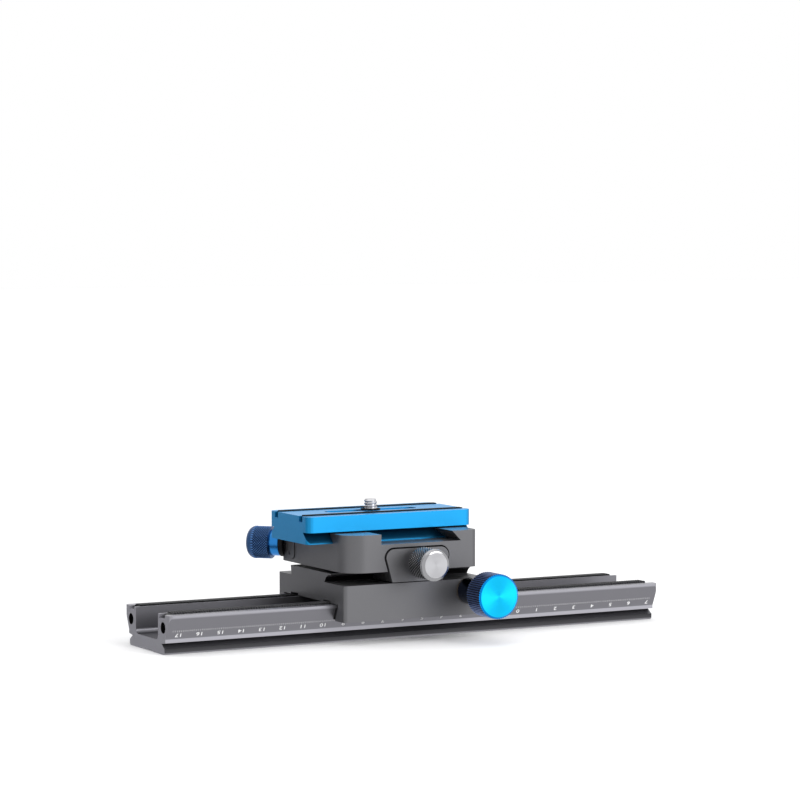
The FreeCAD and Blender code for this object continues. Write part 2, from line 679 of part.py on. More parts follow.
def build_carriage():
    body = new_body("carriage_body")
    sketch = sketch_on(body, "YZ_Plane", "Places.carriage_left")
    outline(sketch, [
        ("Places.lip_inner", "Sizes.carriage_bottom"),
        ("Places.carriage_half", "Sizes.carriage_bottom"),
        ("Places.carriage_half", "Sizes.carriage_ledge"),
        ("Places.dovetail_half - Sizes.top_dovetail_lean", "Sizes.carriage_ledge"),
        ("Places.dovetail_half", "Places.dovetail_top"),
        ("-Places.dovetail_half", "Places.dovetail_top"),
        ("-Places.dovetail_half", "Places.cove_lip", "Sizes.cove_radius", -1),
        ("-Places.cove_foot", "Sizes.carriage_ledge"),
        ("-Places.carriage_half", "Sizes.carriage_ledge"),
        ("-Places.carriage_half", "Sizes.carriage_bottom"),
        ("-Places.lip_inner", "Sizes.carriage_bottom"),
        ("-Places.cavity_half", "Places.flank_top"),
        ("-Places.cavity_half", "Places.cavity_ceiling"),
        ("Places.cavity_half", "Places.cavity_ceiling"),
        ("Places.cavity_half", "Places.flank_top"),
    ])
    pad(body, sketch, "Sizes.carriage_length")
    right = "Places.carriage_left + Sizes.carriage_length"
    for side in ("-", ""):
        cut_block(
            body, ("Places.carriage_left", right),
            (f"{side}Sizes.rack_offset - Places.rack_room_half",
             f"{side}Sizes.rack_offset + Places.rack_room_half"),
            "Places.cavity_ceiling", "Places.rack_room_top")
    for side in ("-", ""):
        cut_block(
            body, ("Places.guide_left", "Places.guide_left + Places.guide_length"),
            (f"{side}Places.pad_inner", f"{side}Places.pad_outer"),
            "Places.cavity_ceiling", "Places.pad_top")
    cut_block(
        body, ("Places.drive_x - Places.pinion_tip - Sizes.pinion_room",
               "Places.drive_x + Places.pinion_tip + Sizes.pinion_room"),
        ("-Places.pinion_front - Sizes.pinion_room", "-Places.pinion_rear + Sizes.pinion_room"),
        "Places.rack_room_top", "Places.drive_z + Places.pinion_tip + Sizes.pinion_room / 2")
    clip_room = "(Sizes.clip_diameter / 2 + Sizes.pinion_room)"
    cut_block(
        body, (f"Places.drive_x - {clip_room}", f"Places.drive_x + {clip_room}"),
        ("-Places.rear_bush_rear", "-Places.shaft_rear + Sizes.pinion_room"),
        "Places.cavity_ceiling", f"Places.drive_z + {clip_room}")
    centre = ("Places.drive_x", "Places.drive_z")
    bore(body, "XZ_Plane", "Places.carriage_half", centre, "Places.bush_radius",
         "Places.carriage_half - Places.rear_bush_rear")
    bore(body, "XY_Plane", "Places.drive_z",
         ("Places.drive_x", "-Places.pinion_front - Sizes.drag_place"),
         "Sizes.drag_screw_diameter / 2", "Sizes.carriage_ledge - Places.drive_z", True)
    for number in (-1, 0, 1):
        bore(body, "XZ_Plane", "-Places.carriage_half",
             (f"Sizes.carriage_centre + {number} * Places.gib_screw_spacing", "Sizes.gib_screw_level"),
             "Sizes.gib_screw_diameter / 2", "Places.carriage_half - Places.lip_half", True)
    left, half = place("carriage_left"), place("carriage_half")
    far = left + size("carriage_length")

    def outer(point):
        at_end = min(abs(point.x - left), abs(point.x - far)) < TOLERANCE
        return at_end and abs(abs(point.y) - half) < TOLERANCE

    round_upright_edges(body, "Sizes.carriage_rounding", outer)


def flank_strip(label, side):
    """A strip with slanted faces between one of the rail's flanks and the carriage's."""
    body = new_body(label)
    sketch = sketch_on(body, "YZ_Plane", "Places.guide_left")
    low = "(Sizes.carriage_bottom + Sizes.guide_margin)"
    high = "(Places.flank_top - Sizes.guide_margin / 2)"
    corners = []
    for gap, levels in (("Sizes.guide_clearance", (low, high)), ("Sizes.flank_gap", (high, low))):
        for level in levels:
            across = f"{side}(Places.rail_half + {gap} - (Places.flank_top - {level}) * Places.flank_slope)"
            corners.append((across, level))
    outline(sketch, corners)
    pad(body, sketch, "Places.guide_length")


def build_slide_pads():
    blocks = []
    for name, side in (("FrontSlidePad", "-Places.pad_outer"), ("RearSlidePad", "Places.pad_inner")):
        block = doc.addObject("Part::Box", name)
        block.setExpression("Length", "Places.guide_length")
        block.setExpression("Width", "Sizes.slide_pad_width")
        block.setExpression("Height", "Sizes.slide_pad_thickness")
        put(block, UP, ("Places.guide_left", side, "Sizes.rail_height + Sizes.guide_clearance"))
        blocks.append(block)
    group("slide_pads", blocks)


def build_gib_screws():
    drop = "(Places.flank_top - Sizes.gib_screw_level)"
    reach = f"(Places.rail_half + Sizes.flank_gap - {drop} * Places.flank_slope)"
    screws = []
    for number in (-1, 0, 1):
        across = f"Sizes.carriage_centre + {number} * Places.gib_screw_spacing"
        start = f"{reach} + Sizes.gib_screw_diameter / 2 * Places.flank_slope + Sizes.seat_clearance"
        screws.append(pin(f"GibScrew{number + 2}", "Sizes.gib_screw_diameter / 2 - Sizes.press_clearance",
                          "Sizes.gib_screw_length", REAR, (across, start, "Sizes.gib_screw_level")))
    group("gib_screws", screws)


def build_bushes():
    centre = ("Places.drive_x", "-Places.carriage_half", "Places.drive_z")
    seat = "Places.bush_radius - Sizes.press_clearance"
    turned("front_bush", [
        ("Places.bush_bore", "-Sizes.front_bush_length"),
        (seat, "-Sizes.front_bush_length"),
        (seat, "0"),
        ("Sizes.bush_flange_diameter / 2", "0"),
        ("Sizes.bush_flange_diameter / 2", "Sizes.bush_flange"),
        ("Places.bush_bore", "Sizes.bush_flange"),
    ], FRONT, centre)
    rear = ("Places.drive_x", "-Places.rear_bush_rear", "Places.drive_z")
    turned("rear_bush", ring("Places.bush_bore", seat, "0", "Sizes.rear_bush_length"), FRONT, rear)


def build_drag():
    centre = ("Places.drive_x", "-Places.pinion_front - Sizes.drag_place")
    shoe = "Places.drive_z + Places.shaft_radius + Sizes.running_clearance"
    radius = "Sizes.drag_screw_diameter / 2 - Sizes.press_clearance"
    turned("drag_shoe", rod(radius, "0", "Sizes.drag_shoe_height"), UP, (*centre, shoe))
    top = f"Sizes.carriage_ledge - ({shoe} + Sizes.drag_shoe_height)"
    turned("drag_screw", rod(radius, "0", top), UP, (*centre, f"{shoe} + Sizes.drag_shoe_height"))


# ---------------------------------------------------------------- drive

def build_drive_knob():
    """Fluted knob with a plain collar, turned about the shaft's axis and bored from the rear."""
    body = new_body("drive_knob")
    bore_radius = "Places.shaft_radius + Sizes.press_clearance"
    depth = "Places.shaft_front - Places.collar_rear + Sizes.seat_clearance"
    front = "Places.drive_knob_front - Places.collar_rear"
    radius = "Sizes.drive_knob_diameter / 2"
    revolve(body, [
        ("0", depth), (bore_radius, depth), (bore_radius, "0"),
        ("Sizes.drive_collar_diameter / 2", "0"),
        ("Sizes.drive_collar_diameter / 2", "Sizes.drive_collar_length"),
        (radius, "Sizes.drive_collar_length"),
        (radius, f"{front} - Sizes.drive_knob_chamfer + Sizes.flute_depth"),
        (f"{radius} - Sizes.flute_depth", f"{front} - Sizes.drive_knob_chamfer + Sizes.flute_depth"),
        (f"{radius} - Sizes.drive_knob_chamfer", front),
        ("0", front),
    ])
    sketch = sketch_on(body, "XY_Plane", "Sizes.drive_collar_length")
    half_angle = "180 / Sizes.flute_count * 0.7"
    outline(sketch, [
        (f"({radius}) * cos({half_angle})", f"-({radius}) * sin({half_angle})"),
        (f"{radius} + Sizes.flute_depth", "0"),
        (f"({radius}) * cos({half_angle})", f"({radius}) * sin({half_angle})"),
        (f"{radius} - Sizes.flute_depth", "0"),
    ])
    flute = pocket(body, sketch, "Sizes.drive_knob_length", True)
    pattern = body.newObject("PartDesign::PolarPattern", "Flutes")
    pattern.Originals = [flute]
    pattern.Axis = (sketch, ["N_Axis"])
    pattern.Angle = 360
    pattern.setExpression("Occurrences", "Sizes.flute_count")
    body.Tip = pattern
    doc.recompute()
    hole = bore(body, "XZ_Plane", "0", ("0", "Sizes.drive_collar_length / 2"),
                "Sizes.knob_screw_diameter / 2", "Sizes.drive_collar_diameter", True)
    hole.Label = "SetScrewHole"
    put(body, FRONT, ("Places.drive_x", "-Places.collar_rear", "Places.drive_z"))


def build_shaft():
    radius = "Places.shaft_radius"
    groove = f"({radius} - Sizes.clip_groove)"
    clip_rear = "Sizes.clip_groove"
    clip_front = "Sizes.clip_groove + Sizes.clip_thickness + 2 * Sizes.press_clearance"
    front = "Places.shaft_front - Places.shaft_rear"
    turned("drive_shaft", [
        ("0", "0"), (radius, "0"), (radius, clip_rear), (groove, clip_rear), (groove, clip_front),
        (radius, clip_front), (radius, front), ("0", front),
    ], FRONT, ("Places.drive_x", "-Places.shaft_rear", "Places.drive_z"))
    turned("shaft_clip", ring(
        f"{groove} + Sizes.press_clearance", "Sizes.clip_diameter / 2",
        "Sizes.clip_groove + Sizes.press_clearance",
        "Sizes.clip_groove + Sizes.press_clearance + Sizes.clip_thickness",
    ), FRONT, ("Places.drive_x", "-Places.shaft_rear", "Places.drive_z"))
    length = "Sizes.drive_collar_diameter / 2 - Places.shaft_radius - Sizes.press_clearance"
    turned("drive_knob_screw", rod("Sizes.knob_screw_diameter / 2 - Sizes.press_clearance", "0", length),
           DOWN, ("Places.drive_x", "-Places.collar_rear - Sizes.drive_collar_length / 2",
                  "Places.drive_z - Places.shaft_radius"))


def involute(angle):
    return math.tan(angle) - angle


def build_pinion():
    """Spur pinion with involute flanks, turned so that a tooth gap meets the rack tooth beside it."""
    module, teeth = size("rack_module"), int(round(size("pinion_teeth")))
    pitch_radius = place("pitch_radius")
    base_radius = pitch_radius * math.cos(math.radians(20))
    tip_radius = pitch_radius + module
    root_radius = pitch_radius - 1.25 * module
    rack_pitch = math.pi * module
    centre_x, centre_z = place("drive_x"), place("drive_z")
    to_rack_tooth = round(centre_x / rack_pitch) * rack_pitch - centre_x
    half_at_pitch = math.pi / (2 * teeth) - size("gear_backlash") / (2 * pitch_radius)
    spread = half_at_pitch + involute(math.radians(20))
    steps = 4
    flank = [(root_radius, spread)]
    for step in range(steps + 1):
        radius = base_radius + (tip_radius - base_radius) * step / steps
        flank.append((radius, spread - involute(math.acos(base_radius / radius))))
    points = []
    for tooth in range(teeth):
        middle = to_rack_tooth / pitch_radius + (tooth + 0.5) * 2 * math.pi / teeth
        sides = [(radius, middle - half) for radius, half in flank]
        sides += [(radius, middle + half) for radius, half in reversed(flank)]
        for radius, angle in sides:
            points.append(FreeCAD.Vector(centre_x + radius * math.sin(angle), -place("pinion_front"),
                                         centre_z - radius * math.cos(angle)))
    points.append(points[0])
    blank = Part.Face(Part.makePolygon(points)).extrude(FreeCAD.Vector(0, size("pinion_width"), 0))
    hole = Part.makeCylinder(place("shaft_radius") + size("press_clearance"), size("pinion_width"),
                             FreeCAD.Vector(centre_x, -place("pinion_front"), centre_z), REAR)
    coded("pinion", blank.cut(hole))


# ---------------------------------------------------------------- cross clamp

def round_notch_foot(body):
    """Round the two lower edges of the corner notch that the corner jaw's rounded edges sit over."""
    front, right, level = place("notch_front"), place("notch_right"), place("notch_bottom")
    picked = []
    for number, edge in enumerate(body.Shape.Edges, start=1):
        box = edge.BoundBox
        low = abs(box.ZMin - level) < TOLERANCE and box.ZLength < TOLERANCE
        at_front = box.YLength < TOLERANCE and abs(box.YMin - front) < TOLERANCE
        at_right = box.XLength < TOLERANCE and abs(box.XMin - right) < TOLERANCE
        if low and (at_front or at_right):
            picked.append(f"Edge{number}")
    base = body.Tip
    feature = body.newObject("PartDesign::Fillet", "NotchFoot")
    feature.Base = (base, picked)
    feature.setExpression("Radius", "Sizes.corner_jaw_rounding")
    doc.recompute()


def build_clamp():
    body = new_body("clamp_body")
    plain = "Sizes.clamp_rounding"
    sketch = sketch_on(body, "XY_Plane", "Sizes.clamp_bottom")
    rounded_rectangle(sketch, "Places.clamp_left", "Places.clamp_right", "-Places.clamp_half",
                      "Places.clamp_half", ("Sizes.clamp_front_rounding", plain, plain, plain))
    pad(body, sketch, "Sizes.clamp_top - Sizes.clamp_bottom")
    # land that rests on the carriage's dovetail
    sketch = sketch_on(body, "XY_Plane", "Places.land_bottom")
    half, depth = "Sizes.clamp_land_width / 2", "Sizes.clamp_land_depth / 2"
    rectangle(sketch, f"Sizes.clamp_centre - {half}", f"Sizes.clamp_centre + {half}", f"-{depth}", depth)
    pad(body, sketch, "Sizes.clamp_bottom - Places.land_bottom + Sizes.seat_clearance")
    # fixed hook behind the dovetail
    sketch = sketch_on(body, "YZ_Plane", "Sizes.clamp_centre - Sizes.rear_hook_width / 2")
    inner = "Places.dovetail_half + Sizes.hook_clearance"
    outline(sketch, [
        (f"{inner} - Places.hook_lean", "Places.hook_bottom"),
        (f"{inner} + Sizes.rear_hook_thickness", "Places.hook_bottom"),
        (f"{inner} + Sizes.rear_hook_thickness", "Sizes.clamp_bottom + Sizes.seat_clearance"),
        (inner, "Sizes.clamp_bottom + Sizes.seat_clearance"),
        (inner, "Places.dovetail_top"),
    ])
    pad(body, sketch, "Sizes.rear_hook_width")
    # channel along X, undercut at the front posts only
    sketch = sketch_on(body, "YZ_Plane", "Places.clamp_left")
    outline(sketch, [
        ("-Places.channel_floor_half", "Sizes.clamp_floor"),
        ("Places.rear_post_face", "Sizes.clamp_floor"),
        ("Places.rear_post_face", "Sizes.clamp_top"),
        ("-Places.channel_mouth_half", "Sizes.clamp_top"),
    ])
    pocket(body, sketch, "2 * Places.clamp_half", True)
    # channel along Y, undercut at the right posts only
    sketch = sketch_on(body, "XZ_Plane", "Places.clamp_half")
    outline(sketch, [
        ("Places.cross_left", "Sizes.clamp_floor"),
        ("Places.cross_right", "Sizes.clamp_floor"),
        ("Places.cross_right - Places.channel_height", "Sizes.clamp_top"),
        ("Places.cross_left", "Sizes.clamp_top"),
    ])
    pocket(body, sketch, "2 * Places.clamp_half")
    # the rear left post gives way to the diagonal jaw, which sits in a notch below it
    cut_block(body, ("Places.clamp_left", "Places.cross_left"),
              ("Places.rear_post_face", "Places.clamp_half"), "Sizes.clamp_floor", "Sizes.clamp_top")
    sketch = sketch_on(body, "XY_Plane", "Places.notch_bottom")
    outline(sketch, [
        ("Places.clamp_left", "Places.notch_front"),
        ("Places.notch_front - Places.notch_heel_sum", "Places.notch_front"),
        ("Places.notch_right", "Places.notch_right + Places.notch_heel_sum"),
        ("Places.notch_right", "Places.clamp_half"),
        ("Places.clamp_left", "Places.clamp_half"),
    ])
    pocket(body, sketch, "Sizes.clamp_top - Places.notch_bottom", True)
    round_notch_foot(body)
    # recess for the front jaw, open downwards
    sketch = sketch_on(body, "XZ_Plane", "Places.clamp_half")
    jaw_outline(sketch, "Sizes.jaw_gap", "Sizes.clamp_bottom")
    pocket(body, sketch, "Sizes.front_pocket_depth")
    # holes of the front jaw: screw, spring and guide pins
    centre = ("Places.front_jaw_x", "Sizes.lower_screw_level")
    bore(body, "XZ_Plane", "Places.pocket_back", centre, "Places.screw_hole", "Sizes.lower_screw_reach")
    bore(body, "XZ_Plane", "Places.pocket_back", centre, "Places.spring_room", "Sizes.spring_length")
    sketch = sketch_on(body, "XZ_Plane", "Places.pocket_back")
    for side in ("-", "+"):
        circle(sketch, f"Places.front_jaw_x {side} Sizes.lower_pin_spacing / 2", "Sizes.lower_screw_level",
               "Places.jaw_pin_radius")
    pocket(body, sketch, "Sizes.lower_pin_length / 2")
    return body


def jaw_outline(sketch, margin, low):
    """The front jaw's tapered outline with rounded upper corners, widened by a margin."""
    top = f"(Sizes.front_jaw_top + {margin})"
    radius = f"(Sizes.front_jaw_rounding + {margin})"
    narrowing = "(Sizes.front_jaw_top_width - Sizes.front_jaw_bottom_width) / 2"
    slope = f"({narrowing} / (Sizes.front_jaw_top - Places.hook_bottom))"

    def half(level):
        return f"(Sizes.front_jaw_top_width / 2 + {margin} - (Sizes.front_jaw_top - ({level})) * {slope})"

    shoulder = f"({top} - {radius})"
    outline(sketch, [
        (f"Places.front_jaw_x - {half(low)}", low),
        (f"Places.front_jaw_x + {half(low)}", low),
        (f"Places.front_jaw_x + {half(shoulder)}", shoulder, radius, 1),
        (f"Places.front_jaw_x + {half(shoulder)} - {radius}", top),
        (f"Places.front_jaw_x - {half(shoulder)} + {radius}", top, radius, 1),
        (f"Places.front_jaw_x - {half(shoulder)}", shoulder),
    ])


def build_front_jaw():
    body = new_body("lower_jaw")
    sketch = sketch_on(body, "XZ_Plane", "Places.jaw_back")
    jaw_outline(sketch, "0", "Places.hook_bottom")
    pad(body, sketch, "Places.jaw_face - Places.jaw_back")
    sketch = sketch_on(body, "YZ_Plane", "Places.front_jaw_x - Sizes.front_jaw_bottom_width / 2")
    outline(sketch, [
        ("-Places.jaw_back - Sizes.seat_clearance", "Places.hook_bottom"),
        ("-Places.toe_tip", "Places.hook_bottom", "Places.toe_radius", 1),
        ("-Places.cove_y", "Places.toe_top"),
        ("-Places.jaw_front_of_dovetail", "Places.toe_top"),
        ("-Places.jaw_front_of_dovetail", "Places.jaw_shoulder"),
        ("-Places.jaw_back - Sizes.seat_clearance", "Places.jaw_shoulder"),
    ])
    pad(body, sketch, "Sizes.front_jaw_bottom_width")
    centre = ("Places.front_jaw_x", "Sizes.lower_screw_level")
    bore(body, "XZ_Plane", "Places.jaw_face", centre, "Places.screw_hole",
         "Places.jaw_face - Places.jaw_back")
    sketch = sketch_on(body, "XZ_Plane", "Places.jaw_back")
    for side in ("-", "+"):
        circle(sketch, f"Places.front_jaw_x {side} Sizes.lower_pin_spacing / 2", "Sizes.lower_screw_level",
               "Places.jaw_pin_radius + Sizes.pin_clearance")
    pocket(body, sketch, "Sizes.front_pocket_depth - Sizes.front_jaw_stand", True)


def build_lower_lock():
    base = ("Places.front_jaw_x", "-Places.silver_neck_rear", "Sizes.lower_screw_level")
    knob = "Sizes.silver_knob_diameter / 2"
    neck = "Sizes.silver_neck_length"
    front = f"{neck} + Sizes.silver_knob_length"
    fit = "Places.screw_radius + Sizes.press_clearance"
    depth = f"{neck} + Sizes.silver_knob_length / 2"
    chamfer = "Sizes.silver_knob_chamfer"
    turned("silver_knob", [
        ("0", depth), (fit, depth), (fit, "0"), ("Sizes.silver_neck_diameter / 2", "0"),
        ("Sizes.silver_neck_diameter / 2", neck), (knob, neck), (knob, f"{front} - {chamfer}"),
        (f"{knob} - {chamfer}", front), ("0", front),
    ], FRONT, base)
    reach = "Places.silver_neck_rear - Places.pocket_back + Sizes.lower_screw_reach - Sizes.jaw_gap"
    turned("lower_lock_screw", rod("Places.screw_radius", f"-({reach})", depth), FRONT, base)


def build_lower_pins():
    pins = []
    for number, side in enumerate("-+", start=1):
        across = f"Places.front_jaw_x {side} Sizes.lower_pin_spacing / 2"
        rear = "-Places.pocket_back + Sizes.lower_pin_length / 2"
        length = "Sizes.lower_pin_length - Sizes.jaw_gap - Sizes.front_jaw_stand"
        pins.append(pin(f"LowerPin{number}", "Places.jaw_pin_radius - Sizes.press_clearance", length, FRONT,
                        (across, rear, "Sizes.lower_screw_level")))
    group("lower_guide_pins", pins)


def spring_shape(length):
    """A coil spring of six-sided wire along Z, each turn in straight chords.

    The wire's own centre line starts at 0.
    """
    wire = size("spring_wire") / 2
    mean = place("spring_inner") + wire
    chords = int(size("spring_turns") * CHORDS_PER_TURN)
    centres = []
    for number in range(chords + 1):
        turn = FreeCAD.Rotation(UP, 360 * number / CHORDS_PER_TURN)
        rise = FreeCAD.Vector(0, 0, (length - 2 * wire) * number / chords)
        centres.append(turn.multVec(FreeCAD.Vector(mean, 0, 0)) + rise)
    across = facing(centres[1] - centres[0])
    section = []
    for side in range(7):
        corner = FreeCAD.Vector(wire * math.cos(math.pi / 3 * side), wire * math.sin(math.pi / 3 * side), 0)
        section.append(centres[0] + across.multVec(corner))
    path, profile = Part.makePolygon(centres), Part.makePolygon(section)
    return path.makePipeShell([profile], True, True, 1)


def build_springs():
    coil = spring_shape(size("spring_length") - 2 * size("seat_clearance"))
    start = "(Sizes.seat_clearance + Sizes.spring_wire / 2)"
    lower_base = f"-Places.pocket_back + Sizes.spring_length - {start}"
    put(coded("lower_jaw_spring", coil), FRONT,
        ("Places.front_jaw_x", lower_base, "Sizes.lower_screw_level"))
    put(coded("corner_jaw_spring", coil.copy()), CORNER,
        corner_point(f"Places.corner_spring_start + {start}", "0", "Sizes.corner_screw_level"))


# ---------------------------------------------------------------- corner jaw

def corner_cutters(label, holes):
    """Round cutters along the clamp's rear left diagonal, as one object."""
    members = []
    for number, (radius, start, end, aside, level) in enumerate(holes, start=1):
        members.append(pin(f"{label}{number}", radius, f"{end} - ({start})", CORNER,
                           corner_point(start, aside, level)))
    cutters = doc.addObject("Part::MultiFuse", label)
    cutters.Shapes = members
    return cutters


def drilled(label, body, holes):
    """The body less its diagonal holes. The body itself stops being a piece of its own."""
    cut = doc.addObject("Part::Cut", label)
    cut.Base = body
    cut.Tool = corner_cutters(label + "Drills", holes)
    parts[parts.index(body)] = cut
    body.Label = label + "_blank"
    cut.Label = label
    doc.recompute()
    return cut


PIN_SIDES = ("-Sizes.corner_pin_spacing / 2", "Sizes.corner_pin_spacing / 2")


def drill_clamp(body):
    level = "Sizes.corner_screw_level"
    holes = [
        ("Places.screw_hole", "Sizes.corner_screw_reach - Sizes.seat_clearance",
         "Places.notch_heel + 1", "0", level),
        ("Places.spring_room", "Places.corner_spring_start", "Places.notch_heel + 3", "0", level),
    ]
    for side in PIN_SIDES:
        holes.append(("Places.jaw_pin_radius", "Sizes.corner_pin_start", "Sizes.corner_pin_end", side,
                      "Sizes.corner_pin_level"))
    drilled("clamp_body", body, holes)


def build_corner_jaw():
    """Corner block with undercut flanks on its front and right sides, rounded along its lower edges."""
    body = new_body("corner_jaw")
    sketch = sketch_on(body, "XY_Plane", "Sizes.corner_jaw_bottom")
    outline(sketch, [
        ("Places.jaw_left", "Places.jaw_front_top"),
        ("Places.jaw_right_top", "Places.jaw_front_top"),
        ("Places.jaw_right_top", "Places.jaw_rear"),
        ("Places.jaw_left + Places.nose_leg", "Places.jaw_rear"),
        ("Places.jaw_left", "Places.jaw_rear - Places.nose_leg"),
    ])
    pad(body, sketch, "Sizes.clamp_top - Sizes.corner_jaw_bottom")
    floor = "Sizes.clamp_floor"
    # front flank: undercut above the channel floor, upright below it, rounded at the bottom
    sketch = sketch_on(body, "YZ_Plane", "Places.jaw_left")
    beyond = "Places.jaw_front_top - 1"
    rounding = "Sizes.corner_jaw_rounding"
    outline(sketch, [
        (beyond, "Sizes.corner_jaw_bottom - 1"),
        (f"Places.jaw_front + {rounding}", "Sizes.corner_jaw_bottom - 1"),
        (f"Places.jaw_front + {rounding}", "Sizes.corner_jaw_bottom", rounding, -1),
        ("Places.jaw_front", f"Sizes.corner_jaw_bottom + {rounding}"),
        ("Places.jaw_front", floor),
        ("Places.channel_floor_half", floor),
        ("Places.jaw_front_top", "Sizes.clamp_top"),
        (beyond, "Sizes.clamp_top"),
    ])
    pocket(body, sketch, "Places.jaw_right_top - Places.jaw_left", True)
    # right flank, with the same profile
    sketch = sketch_on(body, "XZ_Plane", "-Places.jaw_rear")
    beyond = "Places.jaw_right_top + 1"
    outline(sketch, [
        (beyond, "Sizes.corner_jaw_bottom - 1"),
        (f"Places.jaw_right - {rounding}", "Sizes.corner_jaw_bottom - 1"),
        (f"Places.jaw_right - {rounding}", "Sizes.corner_jaw_bottom", rounding, 1),
        ("Places.jaw_right", f"Sizes.corner_jaw_bottom + {rounding}"),
        ("Places.jaw_right", floor),
        ("Places.jaw_right_top - Places.channel_height", floor),
        ("Places.jaw_right_top", "Sizes.clamp_top"),
        (beyond, "Sizes.clamp_top"),
    ])
    pocket(body, sketch, "Places.jaw_rear - Places.jaw_front_top", True)
    # heel: a face square to the diagonal, below the channel floor
    sketch = sketch_on(body, "XY_Plane", "Sizes.corner_jaw_bottom - 1")
    outline(sketch, [
        ("Places.jaw_front_top - 1 - Places.heel_sum", "Places.jaw_front_top - 1"),
        ("Places.jaw_right_top + 1", "Places.jaw_front_top - 1"),
        ("Places.jaw_right_top + 1", "Places.jaw_right_top + 1 + Places.heel_sum"),
    ])
    pocket(body, sketch, "Sizes.clamp_floor - Sizes.corner_jaw_bottom + 1", True)
    level = "Sizes.corner_screw_level"
    holes = [("Places.screw_hole", "Sizes.corner_jaw_heel - 1", "Places.nose_distance + 1", "0", level)]
    for side in PIN_SIDES:
        holes.append(("Places.jaw_pin_radius + Sizes.pin_clearance", "Sizes.corner_jaw_heel - 4",
                      "Sizes.corner_pin_end + Sizes.jaw_gap", side, "Sizes.corner_pin_level"))
    drilled("corner_jaw", body, holes)


def build_corner_pins():
    pins = []
    for number, side in enumerate(PIN_SIDES, start=1):
        pins.append(pin(f"CornerPin{number}", "Places.jaw_pin_radius - Sizes.press_clearance",
                        "Sizes.corner_pin_end - Sizes.corner_pin_start", CORNER,
                        corner_point("Sizes.corner_pin_start", side, "Sizes.corner_pin_level")))
    group("corner_guide_pins", pins)


def build_corner_lock():
    level = "Sizes.corner_screw_level"
    washer_base = corner_point("Places.nose_distance + Sizes.seat_clearance", "0", level)
    washer = ring("Places.screw_hole", "Sizes.washer_diameter / 2", "0", "Sizes.washer_thickness")
    turned("lock_washer", washer, CORNER, washer_base)
    start = "Places.nose_distance + 2 * Sizes.seat_clearance + Sizes.washer_thickness"
    base = corner_point(start, "0", level)
    knob = "Sizes.blue_knob_diameter / 2"
    collar = "Sizes.blue_collar_length"
    front = f"{collar} + Sizes.blue_knob_length"
    fit = "Places.screw_radius + Sizes.press_clearance"
    depth = f"{collar} + Sizes.blue_knob_length / 2"
    rounding = "Sizes.blue_knob_rounding"
    bend = f"{rounding} * (1 - 1 / sqrt(2))"
    turned("blue_lock_knob", [
        ("0", depth), (fit, depth), (fit, "0"), ("Sizes.blue_collar_diameter / 2", "0"),
        ("Sizes.blue_collar_diameter / 2", collar), (knob, collar),
        (knob, f"{front} - {rounding}"), (f"{knob} - {bend}", f"{front} - {bend}"),
        (f"{knob} - {rounding}", front), ("0", front),
    ], CORNER, base)
    turned("corner_lock_screw", rod("Places.screw_radius", f"-({start} - Sizes.corner_screw_reach)", depth),
           CORNER, base)


# ---------------------------------------------------------------- plate

def build_plate():
    body = new_body("quick_release_plate")
    sketch = sketch_on(body, "YZ_Plane", "Places.plate_left")
    outline(sketch, mirrored([
        ("Places.plate_foot_half", "Places.plate_bottom"),
        ("Places.plate_foot_half", "Places.plate_facet_top"),
        ("Places.neck_half", "Sizes.plate_shoulder"),
        ("Places.plate_half", "Sizes.plate_shoulder"),
        ("Places.plate_half", "Sizes.plate_top"),
    ]))
    pad(body, sketch, "Sizes.plate_length")
    for side in ("-", ""):
        middle = f"{side}Places.groove_half"
        cut_block(body, ("Places.plate_left", "Places.plate_right"),
                  (f"{middle} - Sizes.grip_groove_width / 2", f"{middle} + Sizes.grip_groove_width / 2"),
                  "Sizes.plate_top - Sizes.grip_groove_depth", "Sizes.plate_top")
    for width, low, high in (
            ("Sizes.slot_width", "Places.plate_bottom", "Sizes.plate_top"),
            ("Sizes.slot_counterbore", "Places.plate_bottom", "Sizes.slot_seat")):
        sketch = sketch_on(body, "XY_Plane", low)
        reach = f"((Sizes.slot_length - Sizes.slot_width + {width}) / 2)"
        radius = f"({width} / 2)"
        outline(sketch, [
            (f"Sizes.plate_centre - {reach} + {radius}", f"-{radius}"),
            (f"Sizes.plate_centre + {reach} - {radius}", f"-{radius}", radius, 1),
            (f"Sizes.plate_centre + {reach}", "0", radius, 1),
            (f"Sizes.plate_centre + {reach} - {radius}", radius),
            (f"Sizes.plate_centre - {reach} + {radius}", radius, radius, 1),
            (f"Sizes.plate_centre - {reach}", "0", radius, 1),
        ])
        pocket(body, sketch, f"{high} - {low}", True)
    sketch = sketch_on(body, "XY_Plane", "Places.plate_bottom")
    for along, across, side in (("right", "", 1), ("left", "", -1), ("left", "-", 1), ("right", "-", -1)):
        inwards = "-" if along == "right" else "+"
        end = f"Places.plate_{along}"
        wide = f"{across}(Places.plate_half + 1)"
        outline(sketch, [
            (end, f"{across}(Places.plate_half - Sizes.plate_rounding)", "Sizes.plate_rounding", side),
            (f"{end} {inwards} Sizes.plate_rounding", f"{across}Places.plate_half"),
            (f"{end} {inwards} Sizes.plate_rounding", wide),
            (end, wide),
        ])
    pocket(body, sketch, "Sizes.plate_top - Places.plate_bottom", True)


def build_grip_strips():
    for label, side in (("front_grip_strip", "-"), ("rear_grip_strip", "")):
        body = new_body(label)
        sketch = sketch_on(body, "XY_Plane", "Sizes.plate_top - Sizes.grip_groove_depth")
        middle = f"{side}Places.groove_half"
        half = "Sizes.grip_groove_width / 2 - Sizes.strip_clearance"
        rectangle(sketch, "Places.plate_left + Sizes.grip_strip_inset",
                  "Places.plate_right - Sizes.grip_strip_inset",
                  f"{middle} - ({half})", f"{middle} + {half}")
        pad(body, sketch, "Sizes.grip_groove_depth + Sizes.grip_strip_stand")


